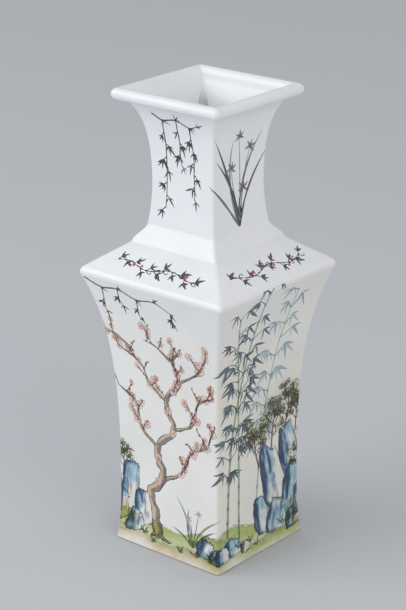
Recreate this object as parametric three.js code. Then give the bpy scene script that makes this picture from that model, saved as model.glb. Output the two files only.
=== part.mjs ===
// A square baluster vase in porcelain, put together the way such a vase is made: pressed slabs of
// clay with mitred edges, luted to each other with slip, and rolls of clay pressed into the seams
// inside. Millimetres, +Z up. The foot stands on z = 0 round the Z axis, and the four sides face
// -Y (front), +X (right), +Y (back) and -X (left).
//
// Every slab has an outline in its own (half, z) plane, where half is the distance from the axis
// to that side's face. The outline is carried along its side from one mitre to the next.

import * as THREE from "three";
import { mergeVertices } from "three/addons/utils/BufferGeometryUtils.js";

// Joints: the layer of slip between two neighbouring pieces of clay
const SLIP_SEAM = 0.3;

// Body: four walls that flare out from a waist up to the shoulder edge and a little to the foot
const BODY_HEIGHT = 210.3; // foot to the sharp shoulder edge, before it is rounded
const SHOULDER_HALF = 66;
const SHOULDER_LEAN = 24; // degrees off plumb, where the wall reaches the shoulder edge
const SHOULDER_PULL = 41; // length along which the wall feels that lean
const WAIST_HALF = 46.4;
const WAIST_HEIGHT = 62;
const WAIST_PULL_UP = 60; // length along which the wall stays plumb above its waist
const WAIST_PULL_DOWN = 23.5;
const FOOT_HALF = 49.3;
const FOOT_LEAN = 11;
const FOOT_PULL = 15;
const FOOT_EDGE_RADIUS = 1.2;
const BODY_WALL = 6;
const BODY_ARRIS = 2.6; // radius of the upright corners

// Shoulder: four slabs that slope up from the edge to the neck and run in under its foot
const SHOULDER_PITCH = 35.6; // degrees above level
const SHOULDER_EDGE_RADIUS = 5;
const SHOULDER_WALL = 5;
const SHOULDER_LEDGE = 6; // how far the slab runs in under the neck's foot

// Neck: four walls with a stepped foot that stands on the shoulder, heights from its outer edge
const NECK_FOOT_HALF = 38.6;
const NECK_FOOT_LEAN = 10;
const NECK_FOOT_PULL = 3.8;
const ANKLE_HALF = 30.4;
const ANKLE_HEIGHT = 13.3;
const ANKLE_LEAN = 8.6;
const ANKLE_PULL_DOWN = 3.3;
const ANKLE_PULL_UP = 8.7;
const NECK_HALF = 28;
const NECK_WAIST_HEIGHT = 44;
const NECK_PULL_DOWN = 11.8;
const NECK_PULL_UP = 33.5;
const NECK_WALL = 4.5;
const NECK_ARRIS = 1.8;
const MOUTH_PITCH = 44; // degrees above level, where the neck's flare reaches the lip
const MOUTH_PULL = 11.6;

// Lip: four mitred rolls luted on the end of the flare
const LIP_HALF = 43.5; // axis to the middle of the roll
const LIP_HEIGHT = 105.9; // the neck's foot to the middle of the roll
const LIP_RADIUS = 4.3;
const LIP_ARRIS = 3;
const LIP_SEAT = 235; // degrees round the roll at which the neck's outside meets it

// Base: one slab let in between the walls, above a hollow foot
const BASE_THICKNESS = 7;
const BASE_RECESS = 6;

// Seam rolls: clay pressed into the inside corners with a finger, so hollow on their open side
const BODY_ROLL = 6; // how far a roll reaches from its corner along either wall
const BASE_ROLL = 5;
const NECK_ROLL = 7;
const ROLL_NOSE = 0.6; // thickness left at a roll's two long edges
const NECK_ROLL_TOP = 8; // how far below the middle of the lip the neck's rolls stop
const NECK_ROLL_TAPER = 20; // length over which they die away into the corner
const NECK_ROLL_TIP = 1.5;

// Steps along curves: the solids are faceted, and these set how finely
const FINE = 120; // points of a curve that is only measured
const FLARE_STEPS = 15;
const FOOT_STEPS = 8;
const MOUTH_STEPS = 14;
const ANKLE_STEPS = 6;
const LINING_STEP = 15; // millimetres between two rows of the body's lining
const NECK_LINING_STEP = 7;
const BODY_ROLL_STEP = 14;
const NECK_ROLL_STEP = 5;
const ARRIS_STEPS = 3;
const EDGE_STEPS = 6;
const LIP_STEPS = 18;
const ROLL_STEPS = 5;

const GLAZED_WHITE = new THREE.MeshStandardMaterial({ color: 0xe9ebf0, roughness: 0.12, metalness: 0 });
const GREY_GLAZE = new THREE.MeshStandardMaterial({ color: 0xd9dadb, roughness: 0.2, metalness: 0 });

const SIDES = ["front", "right", "back", "left"];
const CORNERS = ["front_right", "back_right", "back_left", "front_left"];
const QUARTER_TURN = Math.PI / 2;

const radians = THREE.MathUtils.degToRad;
const point = (half, z) => new THREE.Vector2(half, z);
const heading = (degrees) => point(Math.cos(radians(degrees)), Math.sin(radians(degrees)));
const along = (start, direction, length) => start.clone().addScaledVector(direction, length);

// The value between low and high at which a rising or falling function crosses zero.
function crossing(low, high, value) {
  const falling = value(low) > 0;
  for (let round = 0; round < 50; round++) {
    const middle = (low + high) / 2;
    if (value(middle) > 0 === falling) low = middle;
    else high = middle;
  }
  return (low + high) / 2;
}

// The half at any height, read between the points of a profile that rises from point to point.
function profileOf(points) {
  return (z) => {
    const next = points.findIndex((p, i) => i > 0 && p.y >= z);
    const upper = next > 0 ? next : points.length - 1;
    const [a, b] = [points[upper - 1], points[upper]];
    return THREE.MathUtils.mapLinear(z, a.y, b.y, a.x, b.x);
  };
}

// Body curves: two pulls that meet upright at the waist.
const waist = point(WAIST_HALF, WAIST_HEIGHT);
const foot = point(FOOT_HALF, 0);
const shoulderEdge = point(SHOULDER_HALF, BODY_HEIGHT);
const footCurve = new THREE.CubicBezierCurve(
  foot,
  along(foot, heading(90 + FOOT_LEAN), FOOT_PULL),
  along(waist, heading(-90), WAIST_PULL_DOWN),
  waist,
);
const flareCurve = new THREE.CubicBezierCurve(
  waist,
  along(waist, heading(90), WAIST_PULL_UP),
  along(shoulderEdge, heading(-90 - SHOULDER_LEAN), SHOULDER_PULL),
  shoulderEdge,
);
const bodyHalf = profileOf([footCurve, flareCurve].flatMap((curve) => curve.getPoints(FINE)));
const bodyLining = (z) => bodyHalf(z) - BODY_WALL;

// Shoulder plane: its top and its underside, as heights over a given half.
const slope = Math.tan(radians(SHOULDER_PITCH));
const shoulderTop = (half) => BODY_HEIGHT + slope * (SHOULDER_HALF - half);
const shoulderUnder = (half) => shoulderTop(half) - SHOULDER_WALL / Math.cos(radians(SHOULDER_PITCH));

// The rounded shoulder edge touches the wall's curve and the shoulder's plane.
const shoulderNormal = heading(90 - SHOULDER_PITCH);
function edgeCentre(t) {
  const tangent = flareCurve.getTangent(t);
  return along(flareCurve.getPoint(t), point(-tangent.y, tangent.x), SHOULDER_EDGE_RADIUS);
}
const edgeDepth = (t) => edgeCentre(t).sub(shoulderEdge).dot(shoulderNormal) + SHOULDER_EDGE_RADIUS;
const edgeStart = crossing(0.5, 1, edgeDepth);
const edgeMiddle = edgeCentre(edgeStart);
const edgeTangent = flareCurve.getTangent(edgeStart);
const edgeFrom = Math.atan2(-edgeTangent.x, edgeTangent.y);
const edgeTo = shoulderNormal.angle();
const edgeArc = arc(edgeMiddle, SHOULDER_EDGE_RADIUS, edgeFrom, edgeTo, EDGE_STEPS);

// Where the wall's lining and the shoulder's underside meet, inside the shoulder joint.
const cornerHeight = crossing(WAIST_HEIGHT, BODY_HEIGHT, (z) => shoulderUnder(bodyLining(z)) - z);
const innerCorner = point(bodyLining(cornerHeight), cornerHeight);
const outerCorner = arc(edgeMiddle, SHOULDER_EDGE_RADIUS, edgeFrom, edgeTo, 2)[1];

// Neck curves: the stepped foot, the ankle up to the waist, and the flare up to the lip.
const neckFoot = point(NECK_FOOT_HALF, shoulderTop(NECK_FOOT_HALF));
const ankle = point(ANKLE_HALF, neckFoot.y + ANKLE_HEIGHT);
const neckWaist = point(NECK_HALF, neckFoot.y + NECK_WAIST_HEIGHT);
const lipMiddle = point(LIP_HALF, neckFoot.y + LIP_HEIGHT);
const mouth = along(lipMiddle, heading(LIP_SEAT), LIP_RADIUS + SLIP_SEAM);
const ankleHeading = heading(90 + ANKLE_LEAN);
const mouthHeading = heading(MOUTH_PITCH);
const mouthNormal = heading(90 + MOUTH_PITCH);
const stepCurve = new THREE.CubicBezierCurve(
  neckFoot,
  along(neckFoot, heading(90 + NECK_FOOT_LEAN), NECK_FOOT_PULL),
  along(ankle, ankleHeading, -ANKLE_PULL_DOWN),
  ankle,
);
const ankleCurve = new THREE.CubicBezierCurve(
  ankle,
  along(ankle, ankleHeading, ANKLE_PULL_UP),
  along(neckWaist, heading(-90), NECK_PULL_DOWN),
  neckWaist,
);
const mouthCurve = new THREE.CubicBezierCurve(
  neckWaist,
  along(neckWaist, heading(90), NECK_PULL_UP),
  along(mouth, mouthHeading, -MOUTH_PULL),
  mouth,
);

// The neck's lining: level with the skin below the waist, square to it in the flare.
const inward = point(-1, 0);
const lowLining = [stepCurve, ankleCurve].flatMap((curve) =>
  curve.getPoints(FINE).map((p) => along(p, inward, NECK_WALL)),
);
const mouthLining = mouthCurve.getPoints(MOUTH_STEPS).map((p, i) => {
  const tangent = mouthCurve.getTangent(i / MOUTH_STEPS);
  return along(p, point(-tangent.y, tangent.x), NECK_WALL);
});
const neckLining = profileOf([...lowLining, ...mouthLining]);

// Points on a circle from one angle to another, in radians, both ends included.
function arc(middle, radius, from, to, steps) {
  return Array.from({ length: steps + 1 }, (_, i) => {
    const angle = THREE.MathUtils.lerp(from, to, i / steps);
    return point(middle.x + radius * Math.cos(angle), middle.y + radius * Math.sin(angle));
  });
}

// Outline points that carry the radius of the upright corner they turn.
const turning = (points, arris) => points.map((p) => ({ half: p.x, z: p.y, arris }));

// What is left of a closed outline on the side of a line that its normal points away from.
function cutOutline(outline, origin, normal) {
  const height = (p) => (p.half - origin.x) * normal.x + (p.z - origin.y) * normal.y;
  return outline.flatMap((p, i) => {
    const next = outline[(i + 1) % outline.length];
    const [here, there] = [height(p), height(next)];
    const kept = here <= 0 ? [p] : [];
    if (here < 0 === there < 0) return kept;
    const share = here / (here - there);
    const mix = (key) => THREE.MathUtils.lerp(p[key], next[key], share);
    return [...kept, { half: mix("half"), z: mix("z"), arris: mix("arris") }];
  });
}

// Half of a side's width and its bend round the upright corners, as [x, half] from left to right.
// The ends lie half a slip seam back from the diagonal plane.
function stations({ half, arris }) {
  const rounded = arris > SLIP_SEAM;
  const reach = Math.PI / 4 - Math.asin(SLIP_SEAM / 2 / Math.max(arris, SLIP_SEAM));
  const end = half - SLIP_SEAM / Math.SQRT2;
  const right = Array.from({ length: ARRIS_STEPS + 1 }, (_, i) => {
    const angle = (reach * i) / ARRIS_STEPS;
    if (!rounded) return [end - BODY_ARRIS * (1 - i / ARRIS_STEPS), half];
    return [half - arris + arris * Math.sin(angle), half - arris + arris * Math.cos(angle)];
  });
  return [...right.map(([x, h]) => [-x, h]).reverse(), ...right];
}

// A closed solid from rows of points, each row a closed ring, with flat caps at both ends.
function loft(rings, capOutline) {
  const size = rings[0].length;
  const positions = rings.flat(2);
  const faces = [];
  for (let row = 0; row + 1 < rings.length; row++) {
    for (let i = 0; i < size; i++) {
      const [a, b] = [row * size + i, row * size + ((i + 1) % size)];
      faces.push(b, a, a + size, b, a + size, b + size);
    }
  }
  const last = (rings.length - 1) * size;
  for (const [a, b, c] of THREE.ShapeUtils.triangulateShape(capOutline, [])) {
    faces.push(a, b, c, last + a, last + c, last + b);
  }
  const geometry = new THREE.BufferGeometry();
  geometry.setAttribute("position", new THREE.Float32BufferAttribute(positions, 3));
  geometry.setIndex(faces);
  return mergeVertices(geometry);
}

// A slab along the front side: its outline, anticlockwise in (half, z), from mitre to mitre.
function slab(outline) {
  const rows = outline.map(stations);
  const rings = rows[0].map((_, j) => rows.map((row, i) => [row[j][0], -row[j][1], outline[i].z]));
  return loft(rings, outline.map((p) => point(p.half, p.z)));
}

// A roll's section in a square corner at (0, 0), hollowed by a fingertip: it lies on the lines
// x = 0 and y = 0 and reaches back along both.
function rollSection(reach) {
  const hollow = arc(point(-reach, -reach), reach - ROLL_NOSE, 0, QUARTER_TURN, ROLL_STEPS);
  return [point(0, 0), point(-reach, 0), ...hollow.reverse(), point(0, -reach)];
}

// An upright roll in the front right corner, where the lining's half and the roll's reach are
// functions of height.
function uprightRoll(heights, lining, reach) {
  const rings = heights.map((z) =>
    rollSection(reach(z)).map((p) => [lining(z) - SLIP_SEAM + p.x, -(lining(z) - SLIP_SEAM + p.y), z]),
  );
  return loft(rings, rollSection(reach(heights[0])));
}

// Heights from bottom to top in equal steps of about the given length.
function steps(bottom, top, length) {
  const count = Math.max(2, Math.round((top - bottom) / length));
  return Array.from({ length: count + 1 }, (_, i) => THREE.MathUtils.lerp(bottom, top, i / count));
}

// The joint line between wall and shoulder, moved half a seam to either side.
const jointNormal = point(innerCorner.y - outerCorner.y, outerCorner.x - innerCorner.x).normalize();
const jointBelow = along(innerCorner, jointNormal, -SLIP_SEAM / 2);
const jointAbove = along(innerCorner, jointNormal, SLIP_SEAM / 2);

function bodyWall() {
  const roundingMiddle = point(FOOT_HALF - FOOT_EDGE_RADIUS, FOOT_EDGE_RADIUS);
  const skin = [
    ...arc(roundingMiddle, FOOT_EDGE_RADIUS, -QUARTER_TURN, 0, 3).slice(0, -1),
    ...footCurve.getPoints(FOOT_STEPS).filter((p) => p.y > FOOT_EDGE_RADIUS),
    ...steps(0, edgeStart, 1 / FLARE_STEPS).slice(1, -1).map((t) => flareCurve.getPoint(t)),
    ...edgeArc,
  ];
  const lining = steps(0, BODY_HEIGHT, LINING_STEP).reverse().map((z) => point(bodyLining(z), z));
  return slab(cutOutline([...turning(skin, BODY_ARRIS), ...turning(lining, 0)], jointBelow, jointNormal));
}

function shoulderSlab() {
  const ledge = NECK_FOOT_HALF - SHOULDER_LEDGE;
  const skin = [...edgeArc, point(NECK_FOOT_HALF, shoulderTop(NECK_FOOT_HALF)), point(ledge, shoulderTop(ledge))];
  const underside = [ledge, innerCorner.x, SHOULDER_HALF].map((half) => point(half, shoulderUnder(half)));
  const outline = [...turning(skin, BODY_ARRIS), ...turning(underside, 0)];
  return slab(cutOutline(outline, jointAbove, jointNormal.clone().negate()));
}

function neckWall() {
  const skin = [
    ...stepCurve.getPoints(FOOT_STEPS),
    ...ankleCurve.getPoints(ANKLE_STEPS).slice(1),
    ...mouthCurve.getPoints(MOUTH_STEPS).slice(1),
  ];
  const heights = steps(shoulderUnder(NECK_FOOT_HALF), neckWaist.y, NECK_LINING_STEP).reverse();
  const lining = [...mouthLining.toReversed(), ...heights.slice(1).map((z) => point(neckLining(z), z))];
  const seat = along(neckFoot, shoulderNormal, SLIP_SEAM);
  const outline = [...turning(skin, NECK_ARRIS), ...turning(lining, 0)];
  return slab(cutOutline(outline, seat, shoulderNormal.clone().negate()));
}

function lipRoll() {
  const seatMiddle = along(mouth, mouthHeading, SLIP_SEAM);
  const inside = along(seatMiddle, mouthNormal, NECK_WALL);
  const seatDepth = seatMiddle.clone().sub(lipMiddle).dot(mouthHeading);
  const from = radians(MOUTH_PITCH) - Math.acos(seatDepth / LIP_RADIUS);
  const back = inside.clone().sub(lipMiddle);
  const to = back.angle() - Math.acos(LIP_RADIUS / back.length());
  const roll = arc(lipMiddle, LIP_RADIUS, from, to, LIP_STEPS);
  const outermost = -from / (to - from);
  const arrisAt = (share) =>
    share < outermost
      ? THREE.MathUtils.lerp(NECK_ARRIS, LIP_ARRIS, share / outermost)
      : LIP_ARRIS * (1 - (share - outermost) / (1 - outermost));
  const skin = roll.map((p, i) => ({ half: p.x, z: p.y, arris: arrisAt(i / LIP_STEPS) }));
  return slab([...skin, ...turning([inside], 0)]);
}

const baseTop = BASE_RECESS + BASE_THICKNESS;

function baseSlab() {
  const ring = (z) => {
    const half = bodyLining(z) - SLIP_SEAM;
    return [[-half, -half, z], [half, -half, z], [half, half, z], [-half, half, z]];
  };
  const rings = [ring(BASE_RECESS), ring(baseTop)];
  const outline = rings[0].map(([x, y]) => point(x, y));
  return loft(rings.toReversed(), outline);
}

// The roll along the foot of a wall lies on the base and leans with the wall.
function baseRoll() {
  const bottom = baseTop + SLIP_SEAM;
  const section = rollSection(BASE_ROLL).map((p) => {
    const z = bottom - p.y;
    return point(bodyLining(z) - SLIP_SEAM + p.x, z);
  });
  return slab(turning(section.toReversed(), 0));
}

function bodyRoll() {
  const bottom = baseTop + BASE_ROLL + 2 * SLIP_SEAM;
  const heights = steps(bottom, innerCorner.y - SLIP_SEAM, BODY_ROLL_STEP);
  return uprightRoll(heights, bodyLining, () => BODY_ROLL);
}

function neckRoll() {
  const bottom = shoulderTop(NECK_FOOT_HALF - SHOULDER_LEDGE) + SLIP_SEAM;
  const top = lipMiddle.y - NECK_ROLL_TOP;
  const reach = (z) => {
    const share = THREE.MathUtils.smoothstep(top - z, 0, NECK_ROLL_TAPER);
    return THREE.MathUtils.lerp(NECK_ROLL_TIP, NECK_ROLL, share);
  };
  return uprightRoll(steps(bottom, top, NECK_ROLL_STEP), neckLining, reach);
}

// One copy of a geometry for each of four sides or corners, a quarter turn apart.
function round(name, places, geometry, material) {
  return places.map((place, turns) => {
    const mesh = new THREE.Mesh(geometry, material);
    mesh.name = `${name}_${place}`;
    mesh.rotation.z = turns * QUARTER_TURN;
    return mesh;
  });
}

const base = new THREE.Mesh(baseSlab(), GLAZED_WHITE);
base.name = "base_slab";

const vase = new THREE.Group();
vase.name = "square_baluster_vase";
vase.add(
  base,
  ...round("body_wall", SIDES, bodyWall(), GLAZED_WHITE),
  ...round("shoulder", SIDES, shoulderSlab(), GLAZED_WHITE),
  ...round("neck_wall", SIDES, neckWall(), GLAZED_WHITE),
  ...round("lip", SIDES, lipRoll(), GLAZED_WHITE),
  ...round("base_roll", SIDES, baseRoll(), GREY_GLAZE),
  ...round("body_roll", CORNERS, bodyRoll(), GREY_GLAZE),
  ...round("neck_roll", CORNERS, neckRoll(), GREY_GLAZE),
);

export default vase;
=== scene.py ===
"""Looks of the square baluster vase, built round its packed clay pieces.

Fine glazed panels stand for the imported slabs, painted by brush in overglaze colours, in a pale
studio. Sizes are in millimetres until a point goes into Blender, which works in metres. The front
of the vase faces -Y, and its four sides follow one another anticlockwise seen from above.
"""
import logging
import math
from dataclasses import dataclass
from enum import Enum
from typing import Callable, Iterator, Mapping, Sequence, Union

import bpy
import numpy as np
from bpy.types import Material, Mesh, NodeTree, Object, World
from mathutils import Matrix, Vector


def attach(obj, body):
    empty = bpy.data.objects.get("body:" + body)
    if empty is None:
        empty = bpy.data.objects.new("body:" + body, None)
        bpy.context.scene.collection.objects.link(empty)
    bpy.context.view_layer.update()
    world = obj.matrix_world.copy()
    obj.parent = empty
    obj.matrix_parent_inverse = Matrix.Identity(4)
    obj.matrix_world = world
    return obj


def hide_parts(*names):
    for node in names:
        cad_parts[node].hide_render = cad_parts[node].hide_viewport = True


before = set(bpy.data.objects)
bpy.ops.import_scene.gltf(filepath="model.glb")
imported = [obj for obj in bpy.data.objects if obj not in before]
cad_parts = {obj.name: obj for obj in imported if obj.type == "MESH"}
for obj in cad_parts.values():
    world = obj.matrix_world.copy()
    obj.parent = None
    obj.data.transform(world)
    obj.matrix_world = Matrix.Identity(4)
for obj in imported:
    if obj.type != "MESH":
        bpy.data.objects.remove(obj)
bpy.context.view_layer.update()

Array = np.ndarray
Spot = Sequence[float]
Line = Sequence[Spot]
Number = Union["Sock", float]
Triple = tuple[float, float, float]

LOG = logging.getLogger("vase")
MM = 0.001
QUARTER = math.pi / 2
TINY = 1e-6
HALVINGS = 60
SAMPLES = 400
JOINT = 0.3


class Turn(Enum):
    """A place in a ring of four, by the quarter turns that carry the first one to it."""

    @property
    def tag(self) -> str:
        """Its name inside a piece name."""
        return self.name.lower()


class Side(Turn):
    """The four sides."""

    FRONT = 0
    RIGHT = 1
    BACK = 2
    LEFT = 3


class Corner(Turn):
    """The four upright corners."""

    FRONT_RIGHT = 0
    BACK_RIGHT = 1
    BACK_LEFT = 2
    FRONT_LEFT = 3


def read(
    data: bpy.types.bpy_prop_collection, name: str, kind: type = np.int32, width: int = 1
) -> Array:
    """Read one property of every element of a mesh's collection.

    Args:
        data: the collection.
        name: the property.
        kind: type of its numbers.
        width: how many numbers an element has.

    Returns:
        The numbers in one row.
    """
    values = np.empty(len(data) * width, kind)
    data.foreach_get(name, values)
    return values


def run_length(points: Array) -> Array:
    """The way gone at each point of a line."""
    return np.concatenate([[0], np.cumsum(np.linalg.norm(np.diff(points, axis=0), axis=1))])


def last_true(test: Callable[[float], bool], low: float, high: float) -> float:
    """Find by halving how far a test that holds at the start goes on to hold.

    Args:
        test: what is tested.
        low: the start.
        high: the end.

    Returns:
        The last place where it holds.
    """
    for _ in range(HALVINGS):
        middle = (low + high) / 2
        low, high = (middle, high) if test(middle) else (low, middle)
    return low


def new_object(name: str, data: bpy.types.ID) -> Object:
    """Put a new object into the scene.

    Args:
        name: its name.
        data: its data.

    Returns:
        The object.
    """
    made = bpy.data.objects.new(name, data)
    bpy.context.scene.collection.objects.link(made)
    return made


# Plane curves


def heading(degrees: float) -> Array:
    """Unit vector at an angle from the half axis towards the height axis."""
    return np.array([math.cos(math.radians(degrees)), math.sin(math.radians(degrees))])


@dataclass
class Path:
    """A smooth run of points in (half, height), in millimetres, with unit tangents."""

    points: Array
    tangents: Array

    @staticmethod
    def line(start: Spot, end: Spot, step: float = math.inf) -> "Path":
        """Go straight.

        Args:
            start: the first point.
            end: the last point.
            step: greatest length of a step.

        Returns:
            The run.
        """
        start, end = np.asarray(start, float), np.asarray(end, float)
        length = float(np.hypot(*(end - start)))
        share = np.linspace(0, 1, max(2, math.ceil(length / step) + 1))[:, None]
        points = start + (end - start) * share
        return Path(points, np.repeat(((end - start) / length)[None], len(points), 0))

    @staticmethod
    def arc(middle: Spot, radius: float, start: float, end: float, step: float) -> "Path":
        """Go round a circle.

        Args:
            middle: its middle.
            radius: its radius.
            start: the first angle, in radians.
            end: the last angle.
            step: greatest length of a step.

        Returns:
            The run.
        """
        count = max(2, math.ceil(abs(end - start) * radius / step) + 1)
        angle = np.linspace(start, end, count)
        out = np.stack([np.cos(angle), np.sin(angle)], 1)
        way = math.copysign(1, end - start)
        return Path(np.asarray(middle) + radius * out, way * np.stack([-out[:, 1], out[:, 0]], 1))

    def reversed(self) -> "Path":
        """The same run from its end to its start."""
        return Path(self.points[::-1].copy(), -self.tangents[::-1])

    def offset(self, distance: float) -> "Path":
        """The run moved to its left by a distance."""
        left = np.stack([-self.tangents[:, 1], self.tangents[:, 0]], 1)
        return Path(self.points + distance * left, self.tangents.copy())

    def shifted(self, half: float, height: float) -> "Path":
        """The run moved as it is."""
        return Path(self.points + (half, height), self.tangents.copy())

    def half_at(self, height: float) -> float:
        """The half at a height, on a run that only rises or only falls."""
        order = np.argsort(self.points[:, 1])
        return float(np.interp(height, self.points[order, 1], self.points[order, 0]))


def chain(paths: Sequence[Path]) -> Path:
    """Join runs.

    Args:
        paths: the runs, each starting smoothly where the last one ended.

    Returns:
        One run.
    """
    points = [p.points[:-1] for p in paths[:-1]] + [paths[-1].points]
    tangents = [p.tangents[:-1] for p in paths[:-1]] + [paths[-1].tangents]
    return Path(np.concatenate(points), np.concatenate(tangents))


@dataclass
class Bezier:
    """A cubic curve from its four control points."""

    start: Array
    pull_start: Array
    pull_end: Array
    end: Array

    def at(self, share: float | Array) -> Array:
        """Points of the curve.

        Args:
            share: how far along, from 0 to 1.

        Returns:
            A row for each share.
        """
        t = np.atleast_1d(share)[:, None]
        u = 1 - t
        pulls = 3 * u**2 * t * self.pull_start + 3 * u * t**2 * self.pull_end
        return u**3 * self.start + pulls + t**3 * self.end

    def way(self, share: float | Array) -> Array:
        """Unit tangents of the curve.

        Args:
            share: how far along, from 0 to 1.

        Returns:
            A row for each share.
        """
        t = np.atleast_1d(share)[:, None]
        u = 1 - t
        middle = 2 * u * t * (self.pull_end - self.pull_start)
        way = u**2 * (self.pull_start - self.start) + middle + t**2 * (self.end - self.pull_end)
        return way / np.linalg.norm(way, axis=1, keepdims=True)

    def path(self, step: float, start: float = 0, end: float = 1) -> Path:
        """Follow the curve in even steps.

        Args:
            step: greatest length of a step.
            start: the first share.
            end: the last share.

        Returns:
            The run.
        """
        fine = np.linspace(start, end, SAMPLES)
        gone = run_length(self.at(fine))
        places = np.linspace(0, gone[-1], max(2, math.ceil(gone[-1] / step) + 1))
        share = np.interp(places, gone, fine)
        return Path(self.at(share), self.way(share))

    def resting_circle(
        self, radius: float, depth: Callable[[Array], float], low: float, high: float
    ) -> tuple[float, Array]:
        """Find a circle that touches the curve from its left and a line.

        Args:
            radius: the circle's radius.
            depth: signed distance of a centre from where the line wants it.
            low: lowest share that is searched.
            high: highest share that is searched.

        Returns:
            The share where the circle touches the curve, and the circle's centre.
        """

        def centre(share: float) -> Array:
            """The centre of the circle that touches at a share."""
            way = self.way(share)[0]
            return self.at(share)[0] + radius * np.array([-way[1], way[0]])

        falling = depth(centre(low)) > 0
        share = last_true(lambda middle: (depth(centre(middle)) > 0) == falling, low, high)
        return share, centre(share)


@dataclass
class Outline:
    """A closed outline made of smooth runs, each starting where the last one ended.

    The runs go anticlockwise in (half, height). Each has the corner radius at its start and its end
    in arrises, and the first ones, as many as skin says, are painted.
    """

    runs: list[Path]
    arrises: list[tuple[float, float]]
    skin: int = 1

    def __post_init__(self) -> None:
        """Lay the runs end to end."""
        self.points = np.concatenate([run.points[:-1] for run in self.runs])
        self.leaving = np.concatenate([run.tangents[:-1] for run in self.runs])
        self.reaching = np.concatenate([run.tangents[1:] for run in self.runs])
        arris = [np.linspace(*ends, len(run.points))[:-1] for run, ends in zip(self.runs, self.arrises)]
        self.arris = np.concatenate(arris)
        self.skin_rows = sum(len(run.points) - 1 for run in self.runs[: self.skin]) + 1

    def skin_length(self) -> Array:
        """Distance of each skin row from the first, along the skin."""
        return run_length(self.points[: self.skin_rows])


# Trees of nodes


def math_node(operation: str, swapped: bool = False) -> Callable:
    """Make an operator out of a Math node.

    Args:
        operation: what the node does.
        swapped: whether the other value comes first.

    Returns:
        A method that feeds a socket and other values into the node.
    """

    def calculate(self: "Sock", *others: Number) -> "Sock":
        """The node's result."""
        values = (self, *others)[:: -1 if swapped else 1]
        return self.pen.node("ShaderNodeMath", {"operation": operation}, dict(enumerate(values)))

    return calculate


class Sock:
    """An output of a node that builds Math nodes when it is calculated with."""

    __add__ = math_node("ADD")
    __radd__ = math_node("ADD", True)
    __sub__ = math_node("SUBTRACT")
    __rsub__ = math_node("SUBTRACT", True)
    __mul__ = math_node("MULTIPLY")
    __rmul__ = math_node("MULTIPLY", True)
    __truediv__ = math_node("DIVIDE")
    least = math_node("MINIMUM")
    most = math_node("MAXIMUM")
    sine = math_node("SINE")
    cosine = math_node("COSINE")

    def __init__(self, pen: "Pen", socket: bpy.types.NodeSocket) -> None:
        """Keep the pen and the socket."""
        self.pen, self.socket = pen, socket

    def ramp(self, low: float, high: float) -> "Sock":
        """0 below low and 1 above high, with a soft way between."""
        settings = {"interpolation_type": "SMOOTHSTEP"}
        return self.pen.node("ShaderNodeMapRange", settings, {0: self, 1: low, 2: high, 3: 0.0, 4: 1.0})

    def sibling(self, name: str) -> "Sock":
        """Another output of the same node."""
        return Sock(self.pen, self.socket.node.outputs[name])


class Pen:
    """Writes nodes into one tree."""

    def __init__(self, tree: NodeTree) -> None:
        """Keep the tree."""
        self.tree = tree

    def node(
        self, kind: str, settings: Mapping = {}, inputs: Mapping = {}, output: int | str = 0
    ) -> Sock:
        """Add one node.

        Args:
            kind: the node's type.
            settings: its own properties, set first.
            inputs: values or links of its sockets, by index or name.
            output: the output that is handed back.

        Returns:
            The chosen output.
        """
        node = self.tree.nodes.new(kind)
        for name, value in settings.items():
            setattr(node, name, value)
        for key, value in inputs.items():
            self.feed(node.inputs[key], value)
        return Sock(self, node.outputs[output] if len(node.outputs) else node.inputs[0])

    def feed(self, socket: bpy.types.NodeSocket, value: object) -> None:
        """Link or set one input socket.

        Args:
            socket: the input.
            value: an output to link, or what it is set to.
        """
        if isinstance(value, Sock):
            self.tree.links.new(value.socket, socket)
        elif isinstance(value, tuple) and socket.type == "RGBA" and len(value) == 3:
            socket.default_value = (*value, 1.0)
        else:
            socket.default_value = value

    def mix(self, share: Number, low: object, high: object, kind: str = "MIX") -> Sock:
        """Two colours mixed by a share."""
        settings = {"data_type": "RGBA", "blend_type": kind}
        return self.node("ShaderNodeMix", settings, {0: share, 6: low, 7: high}, 2)

    def noise(self, place: Sock, scale: float, detail: float = 2.0, roughness: float = 0.5) -> Sock:
        """Noise between 0 and 1, its scale in waves for each metre."""
        inputs = {"Vector": place, "Scale": scale, "Detail": detail, "Roughness": roughness}
        return self.node("ShaderNodeTexNoise", {}, inputs)

    def attribute(self, name: str, output: str = "Fac") -> Sock:
        """An attribute of the mesh."""
        return self.node("ShaderNodeAttribute", {"attribute_name": name}, {}, output)


def clean_pen(owner: Material | World) -> Pen:
    """Give a material or a world an empty tree.

    Args:
        owner: the material or the world.

    Returns:
        A pen for the tree.
    """
    owner.use_nodes = True
    owner.node_tree.nodes.clear()
    return Pen(owner.node_tree)


def new_group(name: str, inputs: Mapping[str, str]) -> tuple[NodeTree, Pen, Sock]:
    """Start a Geometry Nodes group.

    Args:
        name: the group's name.
        inputs: kind of each input by its name, between the geometry and the turns and finish.

    Returns:
        The group, its pen, and the first output of its group input node.
    """
    tree = bpy.data.node_groups.new(name, "GeometryNodeTree")
    for label, kind in {"Geometry": "Geometry", **inputs, "Turns": "Int", "Finish": "Material"}.items():
        tree.interface.new_socket(label, in_out="INPUT", socket_type=f"NodeSocket{kind}")
    tree.interface.new_socket("Geometry", in_out="OUTPUT", socket_type="NodeSocketGeometry")
    pen = Pen(tree)
    return tree, pen, pen.node("NodeGroupInput")


def named(pen: Pen, name: str, kind: str = "FLOAT") -> Sock:
    """A named attribute inside a Geometry Nodes group."""
    return pen.node("GeometryNodeInputNamedAttribute", {"data_type": kind}, {"Name": name})


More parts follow.
